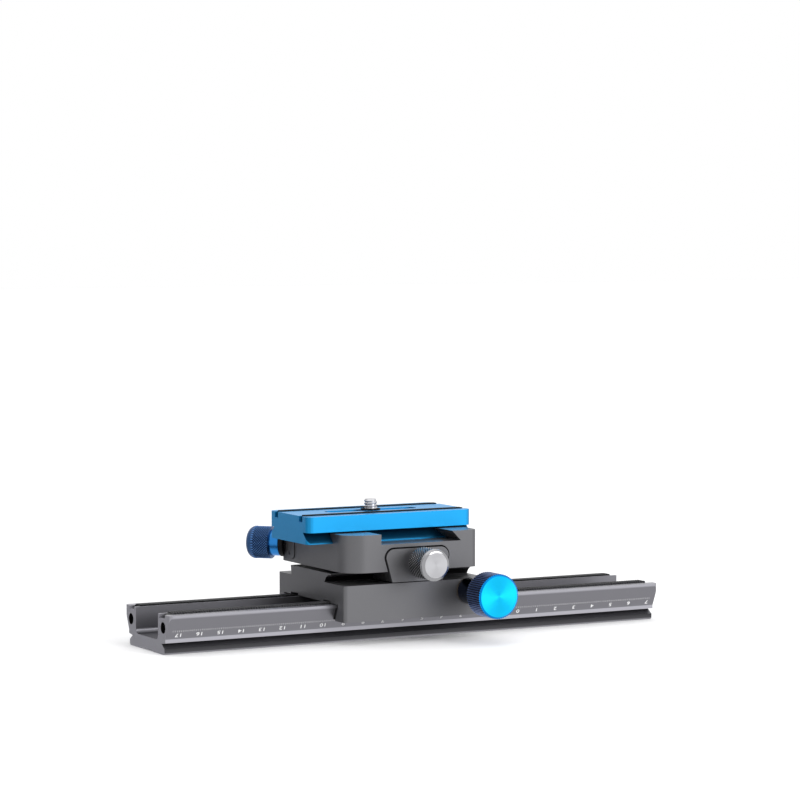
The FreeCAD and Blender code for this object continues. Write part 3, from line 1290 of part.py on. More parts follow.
def build_camera_screw():
    base = ("Sizes.plate_centre", "0", "Places.camera_head_bottom")
    head = "Sizes.camera_screw_head_height"
    top = "Sizes.plate_top + Sizes.camera_screw_stand - Places.camera_head_bottom"
    radius = "Places.camera_screw_radius"
    neck = "Sizes.camera_screw_neck / 2"
    thread = f"{top} - Sizes.camera_screw_thread"
    turned("camera_screw", [
        ("0", "0"), ("Sizes.camera_screw_head / 2", "0"), ("Sizes.camera_screw_head / 2", head),
        (neck, head), (neck, thread), (radius, thread), (radius, f"{top} - 0.8"),
        (f"{radius} - 0.8", top), ("0", top),
    ], UP, base)
    doc.recompute()
    screw = parts[-1]
    sketch = sketch_on(screw, "XY_Plane", "0")
    rectangle(sketch, "-Sizes.camera_screw_head / 2 - 1", "Sizes.camera_screw_head / 2 + 1",
              "-Sizes.camera_slot_width / 2", "Sizes.camera_slot_width / 2")
    pocket(screw, sketch, "Sizes.camera_slot_depth", True)
    ring_base = "Sizes.plate_top + Sizes.seat_clearance"
    ring_profile = ring(f"{neck} + Sizes.press_clearance", "Sizes.camera_ring_diameter / 2", "0",
                        "Sizes.camera_ring_thickness")
    turned("camera_screw_ring", ring_profile, UP, ("Sizes.plate_centre", "0", ring_base))


# ---------------------------------------------------------------- build and write

def build_all():
    build_rail()
    build_rack()
    build_guide_strip()
    build_carriage()
    flank_strip("front_guide_pad", "-")
    flank_strip("rear_gib", "")
    build_slide_pads()
    build_gib_screws()
    build_bushes()
    build_drag()
    build_drive_knob()
    build_shaft()
    build_pinion()
    drill_clamp(build_clamp())
    build_front_jaw()
    build_lower_lock()
    build_lower_pins()
    build_springs()
    build_corner_jaw()
    build_corner_pins()
    build_corner_lock()
    build_plate()
    build_grip_strips()
    build_camera_screw()
    doc.recompute()


def check_all():
    for thing in doc.Objects:
        if "Invalid" in thing.State or "Error" in thing.State:
            raise RuntimeError(f"{thing.Label} is {thing.State}")
    for piece in parts:
        if piece.Shape.isNull() or not piece.Shape.isValid() or not piece.Shape.Solids:
            raise RuntimeError(f"{piece.Label} has no valid solid")


def write_all():
    os.makedirs("parts", exist_ok=True)
    for piece in parts:
        piece.Shape.exportStep(f"parts/{piece.Label}.step")
        print(f"{piece.Label}: {len(piece.Shape.Solids)} solid, {piece.Shape.Volume:.1f} mm3")


build_all()
check_all()
write_all()
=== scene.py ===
"""Finishes, printed scale, knurled knobs, screws and stage for the macro focusing rail."""

import json
import math

import bmesh
import bpy
from mathutils import Matrix, Vector


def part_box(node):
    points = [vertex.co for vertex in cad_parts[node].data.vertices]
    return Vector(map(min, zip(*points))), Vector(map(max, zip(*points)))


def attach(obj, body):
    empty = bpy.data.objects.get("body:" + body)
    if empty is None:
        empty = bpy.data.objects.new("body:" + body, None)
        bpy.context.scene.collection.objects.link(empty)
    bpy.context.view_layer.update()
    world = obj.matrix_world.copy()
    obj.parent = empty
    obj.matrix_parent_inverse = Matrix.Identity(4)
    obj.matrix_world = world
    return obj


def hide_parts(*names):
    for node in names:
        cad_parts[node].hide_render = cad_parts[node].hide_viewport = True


bl_info = {
    "name": "Macro focusing rail looks",
    "version": (1, 0, 0),
    "blender": (4, 5, 0),
    "location": "View3D > Sidebar > Rail",
    "description": "Dresses the packed macro focusing rail with finishes, scale, knurling and a stage",
    "category": "Object",
}

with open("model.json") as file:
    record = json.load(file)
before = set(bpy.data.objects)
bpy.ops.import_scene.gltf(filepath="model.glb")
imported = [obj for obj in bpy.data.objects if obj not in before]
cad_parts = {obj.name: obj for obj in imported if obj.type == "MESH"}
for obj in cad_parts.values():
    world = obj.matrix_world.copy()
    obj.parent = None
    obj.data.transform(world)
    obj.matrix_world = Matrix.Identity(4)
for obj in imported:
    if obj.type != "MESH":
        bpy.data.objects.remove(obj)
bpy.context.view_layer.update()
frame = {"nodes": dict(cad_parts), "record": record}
NODES = frame["nodes"]
MOUNTS = {mount["name"]: mount for mount in frame["record"]["mounts"]}
RAIL_LOW, RAIL_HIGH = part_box("rail_extrusion")
PLATE_LOW, PLATE_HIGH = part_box("quick_release_plate")

MM = 0.001
RIGHT = Vector((1.0, 0.0, 0.0))
FRONT = Vector((0.0, -1.0, 0.0))
REAR = Vector((0.0, 1.0, 0.0))
UP = Vector((0.0, 0.0, 1.0))
CORNER = Vector((-1.0, 1.0, 0.0)).normalized()

# The rail's front flank: heights of its upper and lower edge, and how far the lower lies back
FLANK_TOP = RAIL_HIGH.z - 1.0 * MM
FLANK_FOOT = 6.8 * MM
FLANK_INSET = 4.4 * MM

# Distance from the rail's middle plane to just inside its channel's wall
CHANNEL_SIDE = 12.2 * MM

# Painted light and shade by height: (millimetres above the rail's underside, factor on its colour)
# On the rail's outside: a painted highlight along the bottom edge, painted shade on the foot and in
# the undercut, and painted highlights on the lower and the top lip
RAIL_PAINTED_LIGHT = (
    (0.00, 1.20), (0.53, 1.20), (0.88, 0.30), (2.54, 0.17), (2.80, 0.75), (4.99, 0.75),
    (5.25, 1.75), (6.74, 1.75), (7.00, 1.05), (8.23, 1.00), (15.93, 1.00), (16.28, 1.60))
# In the rail's channel: painted shade, darkest on the floor and lighter at the fillet and up the walls
CHANNEL_PAINTED_SHADE = (
    (5.25, 1.20), (5.60, 0.45), (6.04, 0.45), (7.00, 0.75), (8.05, 0.75), (8.40, 0.70),
    (15.93, 0.90))
# On the carriage: painted shade on the dovetail in the gap under the clamp
CARRIAGE_PAINTED_SHADE = ((26.72, 1.00), (26.80, 0.12), (30.85, 0.12), (30.95, 1.00))
# On the plate: painted shade on its lower part, down in the clamp's channel
PLATE_PAINTED_SHADE = ((44.40, 0.70), (45.00, 0.24), (49.30, 0.24), (49.45, 1.00))

# Height of a figure as a share of its typeface's size
FIGURE_SHARE = 0.73


# ---------------------------------------------------------------- settings

def length(name, description, default, unit="LENGTH"):
    return bpy.props.FloatProperty(
        name=name, description=description, default=default, unit=unit, precision=5)


def angle(name, description, degrees):
    return bpy.props.FloatProperty(
        name=name, description=description, default=math.radians(degrees), subtype="ANGLE")


def place(name, description, default):
    return bpy.props.FloatVectorProperty(
        name=name, description=description, default=default, subtype="TRANSLATION", precision=4)


def colour(name, description, default):
    return bpy.props.FloatVectorProperty(
        name=name, description=description, default=default, size=3, subtype="COLOR",
        min=0.0, max=1.0)


def factor(name, description, default):
    return bpy.props.FloatProperty(
        name=name, description=description, default=default, subtype="FACTOR", min=0.0, max=1.0)


def number(name, description, default, **more):
    return bpy.props.FloatProperty(name=name, description=description, default=default, **more)


def count(name, description, default, **more):
    return bpy.props.IntProperty(name=name, description=description, default=default, **more)


class FinishSettings(bpy.types.PropertyGroup):
    """Colours and gloss of the metals, plastics and rubber"""

    grey: colour("Grey", "Anodised grey of the carriage, clamp and jaws", (0.140, 0.140, 0.148))
    rail_grey: colour("Rail grey", "Lighter anodised grey of the rail", (0.200, 0.198, 0.218))
    blue: colour("Blue", "Anodised blue of the plate", (0.014, 0.325, 0.705))
    knob_blue: colour("Knob blue", "Blue of the drive knob's face", (0.008, 0.530, 0.900))
    # Painted light on the drive knob: painted shade on its chamfer, between its ribs and on its
    # collar, and painted highlights on its rib tips
    edge_blue: colour("Edge blue", "Blue of the drive knob's chamfer", (0.003, 0.220, 0.620))
    rib_blue: colour("Rib blue", "Blue of the drive knob's rib tips", (0.180, 0.270, 0.560))
    deep_blue: colour(
        "Deep blue", "Blue between the drive knob's ribs and on its collar", (0.005, 0.014, 0.045))
    dark_blue: colour("Dark blue", "Blue of the corner lock knob", (0.030, 0.075, 0.180))
    collar_blue: colour("Collar blue", "Blue of the corner lock's collar", (0.030, 0.210, 0.560))
    silver: colour("Silver", "Turned aluminium of the front lock knob", (0.440, 0.440, 0.458))
    steel: colour("Steel", "Machined steel of shafts and pins", (0.560, 0.560, 0.580))
    rack: colour("Rack", "Blackened steel of the rack", (0.045, 0.045, 0.048))
    black: colour("Black", "Black oxide, plastic and rubber", (0.006, 0.006, 0.007))
    brass: colour("Brass", "Brass of the bushes", (0.600, 0.400, 0.150))
    anodised: factor("Anodised", "How metallic an anodised face is", 0.85)
    blast_roughness: factor("Blast roughness", "Roughness of the blasted grey faces", 0.42)
    rail_roughness: factor("Rail roughness", "Roughness of the drawn rail", 0.38)
    plate_roughness: factor("Plate roughness", "Roughness of the blue plate", 0.36)
    blast_grain: length("Blast grain", "Size of the blasted grain", 0.00018)


class ScaleSettings(bpy.types.PropertyGroup):
    """Sizes and places of the printed scale"""

    ink: colour("Ink", "Colour of the printed scale", (0.850, 0.850, 0.850))
    first: count("Left numbers", "Centimetres printed left of zero", 17)
    last: count("Right numbers", "Centimetres printed right of zero", 7)
    ticks_left: count("Left ticks", "Millimetres marked left of zero", 173)
    ticks_right: count("Right ticks", "Millimetres marked right of zero", 71)
    zero: length("Zero", "Place of the zero along the rail", 0.051)
    step: length("Step", "Distance from number to number", 0.010)
    digit_height: length("Digit height", "Height of the printed numbers", 0.00175)
    digit_breadth: number("Digit breadth", "How much wider than its typeface a number is", 1.4)
    digit_spacing: number("Digit spacing", "How far apart a number's digits stand", 1.1)
    digit_level: length("Digit level", "Height of the numbers' middle", 0.0086)
    tick_level: length("Tick level", "Height of the ticks' middle", 0.0104)
    tick_length: length("Tick length", "Length of a tick", 0.0008)
    tick_width: length("Tick width", "Width of a tick", 0.00010)
    weight: length("Weight", "How much bolder than its typeface a number is", 0.00002)
    thickness: length("Thickness", "How far the ink stands off the metal", 0.00002)


class KnurlSettings(bpy.types.PropertyGroup):
    """Sizes of the lock knobs' diamond knurl"""

    depth: length("Depth", "Depth of the knurl", 0.00042)
    pitch: length("Pitch", "Distance from diamond to diamond", 0.00120)
    samples: count("Samples", "Mesh steps across one diamond", 6, min=4, max=12)


class ScrewSettings(bpy.types.PropertyGroup):
    """Sizes of the thread and the hex sockets"""

    camera_pitch: length("Camera thread pitch", "Pitch of the 1/4 inch thread", 0.00127)
    camera_depth: length("Camera thread depth", "Depth of the 1/4 inch thread", 0.00062)
    hex_share: factor("Hex share", "Width of a hex socket as a share of its screw's", 0.52)
    hex_depth: length("Hex depth", "Depth of a hex socket", 0.0014)


class StageSettings(bpy.types.PropertyGroup):
    """Floor, card, lights and camera"""

    floor: colour("Floor", "Colour of the floor", (0.930, 0.930, 0.935))
    floor_reach: length("Floor reach", "Distance from the rail to the floor's edge", 6.0)
    world: colour("Surround", "Colour of the light all around", (1.0, 1.0, 1.0))
    world_power: number("Surround power", "Strength of the light all around", 1.0)
    key_power: number("Key power", "Power of the large front light", 12.0, unit="POWER")
    key_size: length("Key size", "Width of the large front light", 0.9)
    key_place: place("Key place", "Middle of the large front light", (0.68, -1.26, 0.62))
    top_power: number("Top power", "Strength of the soft light overhead", 0.5)
    top_spread: angle("Top spread", "How wide the soft light overhead looks", 70.0)
    card: colour("Card", "Colour of the card that the left sides reflect", (0.550, 0.550, 0.560))
    card_width: length("Card width", "Width of the card", 2.4)
    card_height: length("Card height", "Height of the card", 2.1)
    card_place: place("Card place", "Middle of the card's lower edge", (-1.10, 0.50, -0.9))
    card_turn: angle("Card turn", "Turn of the card about the vertical", 28.0)
    eye_place: place("Camera place", "Where the camera stands", (-0.6586, -1.2203, 0.1899))
    eye_yaw: angle("Camera yaw", "Turn of the camera to the right of straight back", 28.38)
    eye_pitch: angle("Camera pitch", "Tilt of the camera above level", -3.47)
    focal: length("Focal length", "Focal length of the camera's lens", 137.6, unit="CAMERA")
    sensor: length("Sensor width", "Width of the camera's sensor", 36.0, unit="CAMERA")


SETTINGS = {
    "rail_finish": FinishSettings,
    "rail_scale": ScaleSettings,
    "rail_knurl": KnurlSettings,
    "rail_screws": ScrewSettings,
    "rail_stage": StageSettings,
}


# ---------------------------------------------------------------- meshes

def centre_of(name):
    """Middle of a node's box at rest."""
    low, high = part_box(name)
    return (low + high) / 2


def turn_to(direction):
    """Matrix that takes Z to a direction, with Y kept upright where the direction is level."""
    direction = Vector(direction).normalized()
    if abs(direction.z) > 0.999:
        return UP.rotation_difference(direction).to_matrix().to_4x4()
    across = UP.cross(direction).normalized()
    return Matrix((across, direction.cross(across), direction)).transposed().to_4x4()


def new_object(name, data=None):
    """An object in the scene, with an empty mesh unless data is given."""
    piece = bpy.data.objects.new(name, bpy.data.meshes.new(name) if data is None else data)
    bpy.context.scene.collection.objects.link(piece)
    return piece


def mesh_from(name, working):
    """A named mesh from a bmesh, with merged doubles and outward faces."""
    bmesh.ops.remove_doubles(working, verts=working.verts, dist=1e-8)
    bmesh.ops.recalc_face_normals(working, faces=working.faces)
    mesh = bpy.data.meshes.new(name)
    working.to_mesh(mesh)
    working.free()
    return mesh


def plain_mesh(piece):
    """The mesh that an object's curve or modifiers make."""
    bpy.context.view_layer.update()
    seen = piece.evaluated_get(bpy.context.evaluated_depsgraph_get())
    return bpy.data.meshes.new_from_object(seen)


def smooth(mesh, degrees):
    """Shade a mesh smooth, apart from edges sharper than an angle."""
    mesh.shade_smooth()
    mesh.set_sharp_from_angle(angle=math.radians(degrees))


def lathe(name, profile, segments):
    """A closed mesh turned about Z. The profile holds (radius, height, pattern weight)."""
    working = bmesh.new()
    pattern = working.verts.layers.float.new("pattern")
    rings = []
    for radius, height, weight in profile:
        turns = [2.0 * math.pi * step / segments for step in range(segments if radius else 1)]
        ring = [working.verts.new((radius * math.cos(turn), radius * math.sin(turn), height))
                for turn in turns]
        for vertex in ring:
            vertex[pattern] = weight
        rings.append(ring)
    for lower, upper in zip(rings, rings[1:]):
        for step in range(segments):
            following = (step + 1) % segments
            if len(lower) == 1:
                corners = (lower[0], upper[following], upper[step])
            elif len(upper) == 1:
                corners = (lower[step], lower[following], upper[0])
            else:
                corners = (lower[step], lower[following], upper[following], upper[step])
            working.faces.new(corners)
    return mesh_from(name, working)


def plain(*points):
    """Profile points that carry no pattern."""
    return [(radius, height, 0.0) for radius, height in points]


def patterned(radius, low, high, steps):
    """Profile points along a cylinder that carries a pattern."""
    return [(radius, low + (high - low) * step / steps, 1.0) for step in range(steps + 1)]


def rounded(radius, height, bend, steps):
    """Profile points of a rounded edge at the top of a cylinder, after its first point."""
    turns = [math.pi / 2 * step / steps for step in range(1, steps + 1)]
    return plain(*[(radius - bend + bend * math.cos(turn), height - bend + bend * math.sin(turn))
                   for turn in turns])


# ---------------------------------------------------------------- nodes

def add_node(tree, kind, *inputs, output=0, **settings):
    """Add a node. Each input is a value, a socket or None, and one output's socket is returned."""
    node = tree.nodes.new(kind)
    for label, value in settings.items():
        setattr(node, label, value)
    sockets = [socket for socket in node.inputs if socket.enabled]
    for socket, value in zip(sockets, inputs):
        if isinstance(value, bpy.types.NodeSocket):
            tree.links.new(value, socket)
        elif value is not None:
            socket.default_value = value
    return [socket for socket in node.outputs if socket.enabled][output]


def calculate(tree, operation, *inputs):
    """Output of a math node."""
    return add_node(tree, "ShaderNodeMath", *inputs, operation=operation)


def diagonal(tree, one, other):
    """Length of the diagonal over two sides."""
    squares = [calculate(tree, "MULTIPLY", side, side) for side in (one, other)]
    return calculate(tree, "SQRT", calculate(tree, "ADD", *squares))


def parts_of(tree, vector):
    """Sockets X, Y and Z of a vector."""
    return add_node(tree, "ShaderNodeSeparateXYZ", vector).node.outputs


# ---------------------------------------------------------------- materials

def principled(material):
    """A material's main shader."""
    return material.node_tree.nodes["Principled BSDF"]


def shader(name, tint, roughness, metallic=0.0, specular=0.5):
    """A material of one colour and gloss."""
    material = bpy.data.materials.new(name)
    material.use_nodes = True
    inputs = principled(material).inputs
    inputs["Base Color"].default_value = (*tint, 1.0)
    inputs["Roughness"].default_value = roughness
    inputs["Metallic"].default_value = metallic
    inputs["Specular IOR Level"].default_value = specular
    return material


def recolour(material, socket):
    """Take a material's colour from a socket."""
    material.node_tree.links.new(socket, principled(material).inputs["Base Color"])


def relief(material, height, strength, distance):
    """Raise a material's surface by a pattern."""
    tree = material.node_tree
    bump = tree.nodes.new("ShaderNodeBump")
    bump.inputs["Strength"].default_value = strength
    bump.inputs["Distance"].default_value = distance
    tree.links.new(height, bump.inputs["Height"])
    tree.links.new(bump.outputs["Normal"], principled(material).inputs["Normal"])


def own_place(tree):
    """Socket for the place in the piece's own coordinates."""
    return tree.nodes.new("ShaderNodeTexCoord").outputs["Object"]


def metal(name, tint, roughness, metallic=1.0, specular=0.5, grain=0.2 * MM, strength=0.2,
          stretch=(1.0, 1.0, 1.0)):
    """A finish with a fine grain, which the stretch draws out."""
    material = shader(name, tint, roughness, metallic, specular)
    tree = material.node_tree
    mapping = tree.nodes.new("ShaderNodeMapping")
    mapping.inputs["Scale"].default_value = stretch
    noise = tree.nodes.new("ShaderNodeTexNoise")
    noise.inputs["Scale"].default_value = 1.0 / grain
    noise.inputs["Detail"].default_value = 2.0
    tree.links.new(own_place(tree), mapping.inputs["Vector"])
    tree.links.new(mapping.outputs["Vector"], noise.inputs["Vector"])
    relief(material, noise.outputs["Fac"], strength, 0.2 * grain)
    return material


def dull(name, tint, roughness, **grain):
    """Plastic, rubber or card."""
    return metal(name, tint, roughness, metallic=0.0, specular=0.12, **grain)


def about_front(tree, centre):
    """Sockets for the place from a centre, the way round its front axis and the distance to it."""
    offset = add_node(tree, "ShaderNodeVectorMath", own_place(tree), centre, operation="SUBTRACT")
    around = add_node(tree, "ShaderNodeVectorMath", offset, FRONT, operation="CROSS_PRODUCT")
    radius = add_node(tree, "ShaderNodeVectorMath", around, operation="LENGTH")
    return offset, around, radius


def turned_metal(name, tint, roughness, centre, line, strength, drawn):
    """Metal with fine turning rings about a front axis, and gloss drawn out along them."""
    material = shader(name, tint, roughness, metallic=1.0)
    principled(material).inputs["Anisotropic"].default_value = drawn
    tree = material.node_tree
    _, around, radius = about_front(tree, centre)
    tree.links.new(around, principled(material).inputs["Tangent"])
    rings = tree.nodes.new("ShaderNodeTexNoise")
    rings.noise_dimensions = "1D"
    rings.inputs["Scale"].default_value = 1.0 / line
    tree.links.new(radius, rings.inputs["W"])
    relief(material, rings.outputs["Fac"], strength, 0.4 * line)
    return material


def toned(tint, tone):
    """A colour made lighter or darker."""
    return [min(1.0, share * tone) for share in tint]


def ramp(tree, value, stops):
    """A colour ramp. The stops hold (place, colour), and there are two or more."""
    node = tree.nodes.new("ShaderNodeValToRGB")
    elements = node.color_ramp.elements
    while len(elements) < len(stops):
        elements.new(0.5)
    for element, (at, tint) in zip(elements, stops):
        element.position = at
        element.color = (*tint, 1.0)
    tree.links.new(value, node.inputs["Fac"])
    return node.outputs["Color"]


def bands(tree, level, top, tint, tones):
    """Painted light and shade by height, on a ramp that runs from zero to the top."""
    share = calculate(tree, "DIVIDE", level, top)
    return ramp(tree, share, [(at * MM / top, toned(tint, tone)) for at, tone in tones])


def mix_colours(tree, share, first, second):
    """Colour that goes from the first to the second with the share."""
    inputs = [value if isinstance(value, bpy.types.NodeSocket) else (*value, 1.0)
              for value in (first, second)]
    return add_node(tree, "ShaderNodeMix", share, *inputs, data_type="RGBA")


def facing(tree):
    """Sockets X, Y and Z of the way that the surface faces."""
    return parts_of(tree, tree.nodes.new("ShaderNodeNewGeometry").outputs["Normal"])


def tone_ends(tree, faced, ends, rest):
    """One colour on the ends, which face along X, and another elsewhere."""
    elsewhere = calculate(tree, "COMPARE", faced["X"], 0.0, 0.5)
    return mix_colours(tree, elsewhere, ends, rest)


def rail_metal(s):
    """Drawn metal with painted highlights on the lips, painted shade on the undercut, foot and channel
    and in the bores, and lighter ends.
    """
    material = metal("AnodisedRail", s.rail_grey, s.rail_roughness, s.anodised,
                     grain=s.blast_grain, strength=0.3, stretch=(0.12, 1.0, 1.0))
    tree = material.node_tree
    spot = parts_of(tree, own_place(tree))
    side = calculate(tree, "ABSOLUTE", spot["Y"])
    # Painted light and shade by height, outside the channel and in it
    outside = bands(tree, spot["Z"], RAIL_HIGH.z, s.rail_grey, RAIL_PAINTED_LIGHT)
    inside = bands(tree, spot["Z"], RAIL_HIGH.z, s.rail_grey, CHANNEL_PAINTED_SHADE)
    in_channel = calculate(tree, "LESS_THAN", side, CHANNEL_SIDE)
    drawn = mix_colours(tree, in_channel, outside, inside)

    # Painted shade in the bores: faces near a bore's axis are painted near black
    bore = MOUNTS["end_hole_right_rear"]
    _, bore_side, bore_level = bore["pos_m"]
    across = calculate(tree, "SUBTRACT", side, bore_side)
    up = calculate(tree, "SUBTRACT", spot["Z"], bore_level)
    rim = (bore["dims"]["r_mm"] + 0.1) * MM
    in_bore = calculate(tree, "LESS_THAN", diagonal(tree, across, up), rim)
    # The bores' painted shade, and the ends, which face along X, 1.6 times lighter
    black, lighter_ends = toned(s.rail_grey, 0.06), toned(s.rail_grey, 1.6)
    drawn = mix_colours(tree, in_bore, drawn, black)
    recolour(material, tone_ends(tree, facing(tree), lighter_ends, drawn))
    return material


def shade(material, tint, tones=(), under=1.0, ends=1.0):
    """Paint shade into a finish by height, and by one factor where it faces down and one at its ends.
    """
    tree = material.node_tree
    height = parts_of(tree, own_place(tree))["Z"]
    faced = facing(tree)
    banded = bands(tree, height, PLATE_HIGH.z, tint, tones) if tones else tint
    sided = tone_ends(tree, faced, toned(tint, ends), banded)
    down = calculate(tree, "LESS_THAN", faced["Z"], -0.8)
    recolour(material, mix_colours(tree, down, sided, toned(tint, under)))
    return material


def drive_knob_metal(s):
    """Turned blue with painted shade on its chamfer, between its ribs and on its collar, and painted
    highlights on its rib tips.

    The knob's edge and its ribs' roots and tips are given as shares of its radius.
    """
    low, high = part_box("drive_knob")
    shaft = centre_of("drive_shaft")
    face = Vector((shaft.x, low.y, shaft.z))
    outer = (high.x - low.x) / 2
    chamfer = 0.9 * MM
    edge = (outer - chamfer) / outer
    rib_root, rib_tip = 0.976, 0.990
    material = turned_metal("TurnedBlue", s.knob_blue, 0.30, face,
                            line=0.22 * MM, strength=0.25, drawn=0.78)
    tree = material.node_tree
    offset, _, radius = about_front(tree, face)
    share = calculate(tree, "DIVIDE", radius, outer)
    depth = add_node(tree, "ShaderNodeVectorMath", offset, FRONT, operation="DOT_PRODUCT")
    in_front = calculate(tree, "GREATER_THAN", depth, -0.7 * chamfer)
    # Painted shade on the chamfer, and painted shade from the ribs' roots and the collar out to
    # painted highlights on the rib tips
    front = ramp(tree, share, [(edge, s.knob_blue), (edge + 0.005, s.edge_blue)])
    ribs = ramp(tree, share, [(rib_root, s.deep_blue), (rib_tip, s.rib_blue)])
    recolour(material, mix_colours(tree, in_front, ribs, front))
    return material


def darken_grooves(material, rest, crest, groove, start, end):
    """Paint shade into a knurl: its colour goes from the crests' to the grooves' between two depths,
    and the rest apart.
    """
    tree = material.node_tree
    cavity = tree.nodes.new("ShaderNodeAttribute")
    cavity.attribute_name = "cavity"
    stops = [(0.0, rest), (0.01, crest), (start, crest), (end, groove)]
    recolour(material, ramp(tree, cavity.outputs["Fac"], stops))


def paint(name, material):
    """Give a node one material."""
    slots = NODES[name].data.materials
    slots.clear()
    slots.append(material)


# ---------------------------------------------------------------- geometry node trees

class Tree:
    """A Geometry Nodes tree with named inputs."""

    def __init__(self, name, with_geometry, **inputs):
        self.group = bpy.data.node_groups.new(name, "GeometryNodeTree")
        sockets = self.group.interface
        if with_geometry:
            sockets.new_socket("Geometry", in_out="INPUT", socket_type="NodeSocketGeometry")
        self.values = {}
        for label, (kind, value) in inputs.items():
            socket = sockets.new_socket(label, in_out="INPUT", socket_type=kind)
            self.values[socket.identifier] = value
        sockets.new_socket("Geometry", in_out="OUTPUT", socket_type="NodeSocketGeometry")
        self.start = self.group.nodes.new("NodeGroupInput")
        self.end = self.group.nodes.new("NodeGroupOutput")

    def given(self, label):
        """Socket of a named input."""
        return self.start.outputs[label]

    def add(self, kind, *inputs, **settings):
        return add_node(self.group, kind, *inputs, **settings)

    def maths(self, operation, *inputs):
        return calculate(self.group, operation, *inputs)

    def finish(self, geometry):
        """End the tree in Realize Instances and Set Material."""
        realized = self.add("GeometryNodeRealizeInstances", geometry)
        finished = self.add("GeometryNodeSetMaterial", realized, None, self.given("Material"))
        self.group.links.new(finished, self.end.inputs[0])

    def grow(self, piece):
        """Run the tree on a piece and keep the result as its plain mesh."""
        modifier = piece.modifiers.new(self.group.name, "NODES")
        modifier.node_group = self.group
        for identifier, value in self.values.items():
            modifier[identifier] = value
        made = plain_mesh(piece)
        piece.modifiers.clear()
        piece.data = made
        made.name = piece.name
        return piece


def groove_tree(name, material, starts, lead, depth, crossed, rest=0.0):
    """Cut V grooves that wind about Z into the vertices whose pattern weight is above zero.

    A groove climbs by one lead from one start to the next. The cavity attribute holds how deep
    a vertex lies in its groove, and the vertices without the pattern get the rest value.
    """
    tree = Tree(name, True,
                Starts=("NodeSocketFloat", float(starts)), Lead=("NodeSocketFloat", lead),
                Depth=("NodeSocketFloat", depth), Crossed=("NodeSocketFloat", float(crossed)),
                Rest=("NodeSocketFloat", rest), Material=("NodeSocketMaterial", material))
    spot = parts_of(tree.group, tree.add("GeometryNodeInputPosition"))
    angle_round = tree.maths("ARCTAN2", spot["Y"], spot["X"])
    share_round = tree.maths("DIVIDE", angle_round, 2.0 * math.pi)
    turns = tree.maths("MULTIPLY", share_round, tree.given("Starts"))
    climb = tree.maths("DIVIDE", spot["Z"], tree.given("Lead"))

    def ridge(phase):
        """Height of a V ridge, 1 at its crest and 0 in the groove."""
        part = tree.maths("FRACT", phase)
        slope = tree.maths("ABSOLUTE", tree.maths("MULTIPLY_ADD", part, 2.0, -1.0))
        return tree.maths("SUBTRACT", 1.0, slope)

    one = ridge(tree.maths("SUBTRACT", turns, climb))
    other = ridge(tree.maths("ADD", turns, climb))
    other = tree.maths("MAXIMUM", other, tree.maths("SUBTRACT", 1.0, tree.given("Crossed")))
    fall = tree.maths("SUBTRACT", 1.0, tree.maths("MINIMUM", one, other))
    weight = tree.add("GeometryNodeInputNamedAttribute", "pattern", data_type="FLOAT")
    cavity = tree.maths("MULTIPLY", fall, weight)

    cut = tree.maths("MULTIPLY", cavity, tree.given("Depth"))
    radius = diagonal(tree.group, spot["X"], spot["Y"])
    share = tree.maths("DIVIDE", cut, tree.maths("MAXIMUM", radius, 1e-6))
    back = tree.maths("MULTIPLY", share, -1.0)
    inward = tree.add("ShaderNodeCombineXYZ", tree.maths("MULTIPLY", spot["X"], back),
                      tree.maths("MULTIPLY", spot["Y"], back), 0.0)
    even = tree.maths("MULTIPLY", tree.maths("SUBTRACT", 1.0, weight), tree.given("Rest"))
    marked = tree.add("GeometryNodeStoreNamedAttribute", tree.given("Geometry"), None, "cavity",
                      tree.maths("ADD", cavity, even), data_type="FLOAT", domain="POINT")
    tree.finish(tree.add("GeometryNodeSetPosition", marked, None, None, inward))
    return tree


def row_tree(name, material, blocks, pitch, size):
    """A row of small blocks along X."""
    tree = Tree(name, False,
                Count=("NodeSocketInt", blocks), Pitch=("NodeSocketFloat", pitch),
                Size=("NodeSocketVector", size), Material=("NodeSocketMaterial", material))
    step = tree.add("ShaderNodeCombineXYZ", tree.given("Pitch"), 0.0, 0.0)
    line = tree.add("GeometryNodeMeshLine", tree.given("Count"), None, step, mode="OFFSET")
    block = tree.add("GeometryNodeMeshCube", tree.given("Size"))
    tree.finish(tree.add("GeometryNodeInstanceOnPoints", line, None, block))
    return tree


def socket_tree(name, material, radius, depth, socket_radius, socket_depth):
    """A pin along Z with a hex socket in its upper end."""
    sides = 32
    tree = Tree(name, False,
                Radius=("NodeSocketFloat", radius), Length=("NodeSocketFloat", depth),
                Socket=("NodeSocketFloat", socket_radius), Reach=("NodeSocketFloat", socket_depth),
                Material=("NodeSocketMaterial", material))
    shank = tree.add("GeometryNodeMeshCylinder", sides, 1, 1,
                     tree.given("Radius"), tree.given("Length"))
    hexagon = tree.add("GeometryNodeMeshCylinder", 6, 1, 1,
                       tree.given("Socket"), tree.maths("MULTIPLY", tree.given("Reach"), 2.0))
    top = tree.add("ShaderNodeCombineXYZ", 0.0, 0.0,
                   tree.maths("MULTIPLY", tree.given("Length"), 0.5))
    lifted = tree.add("GeometryNodeTransform", hexagon, top)
    tree.finish(tree.add("GeometryNodeMeshBoolean", shank, lifted,
                         operation="DIFFERENCE", solver="EXACT"))
    return tree


# ---------------------------------------------------------------- operators

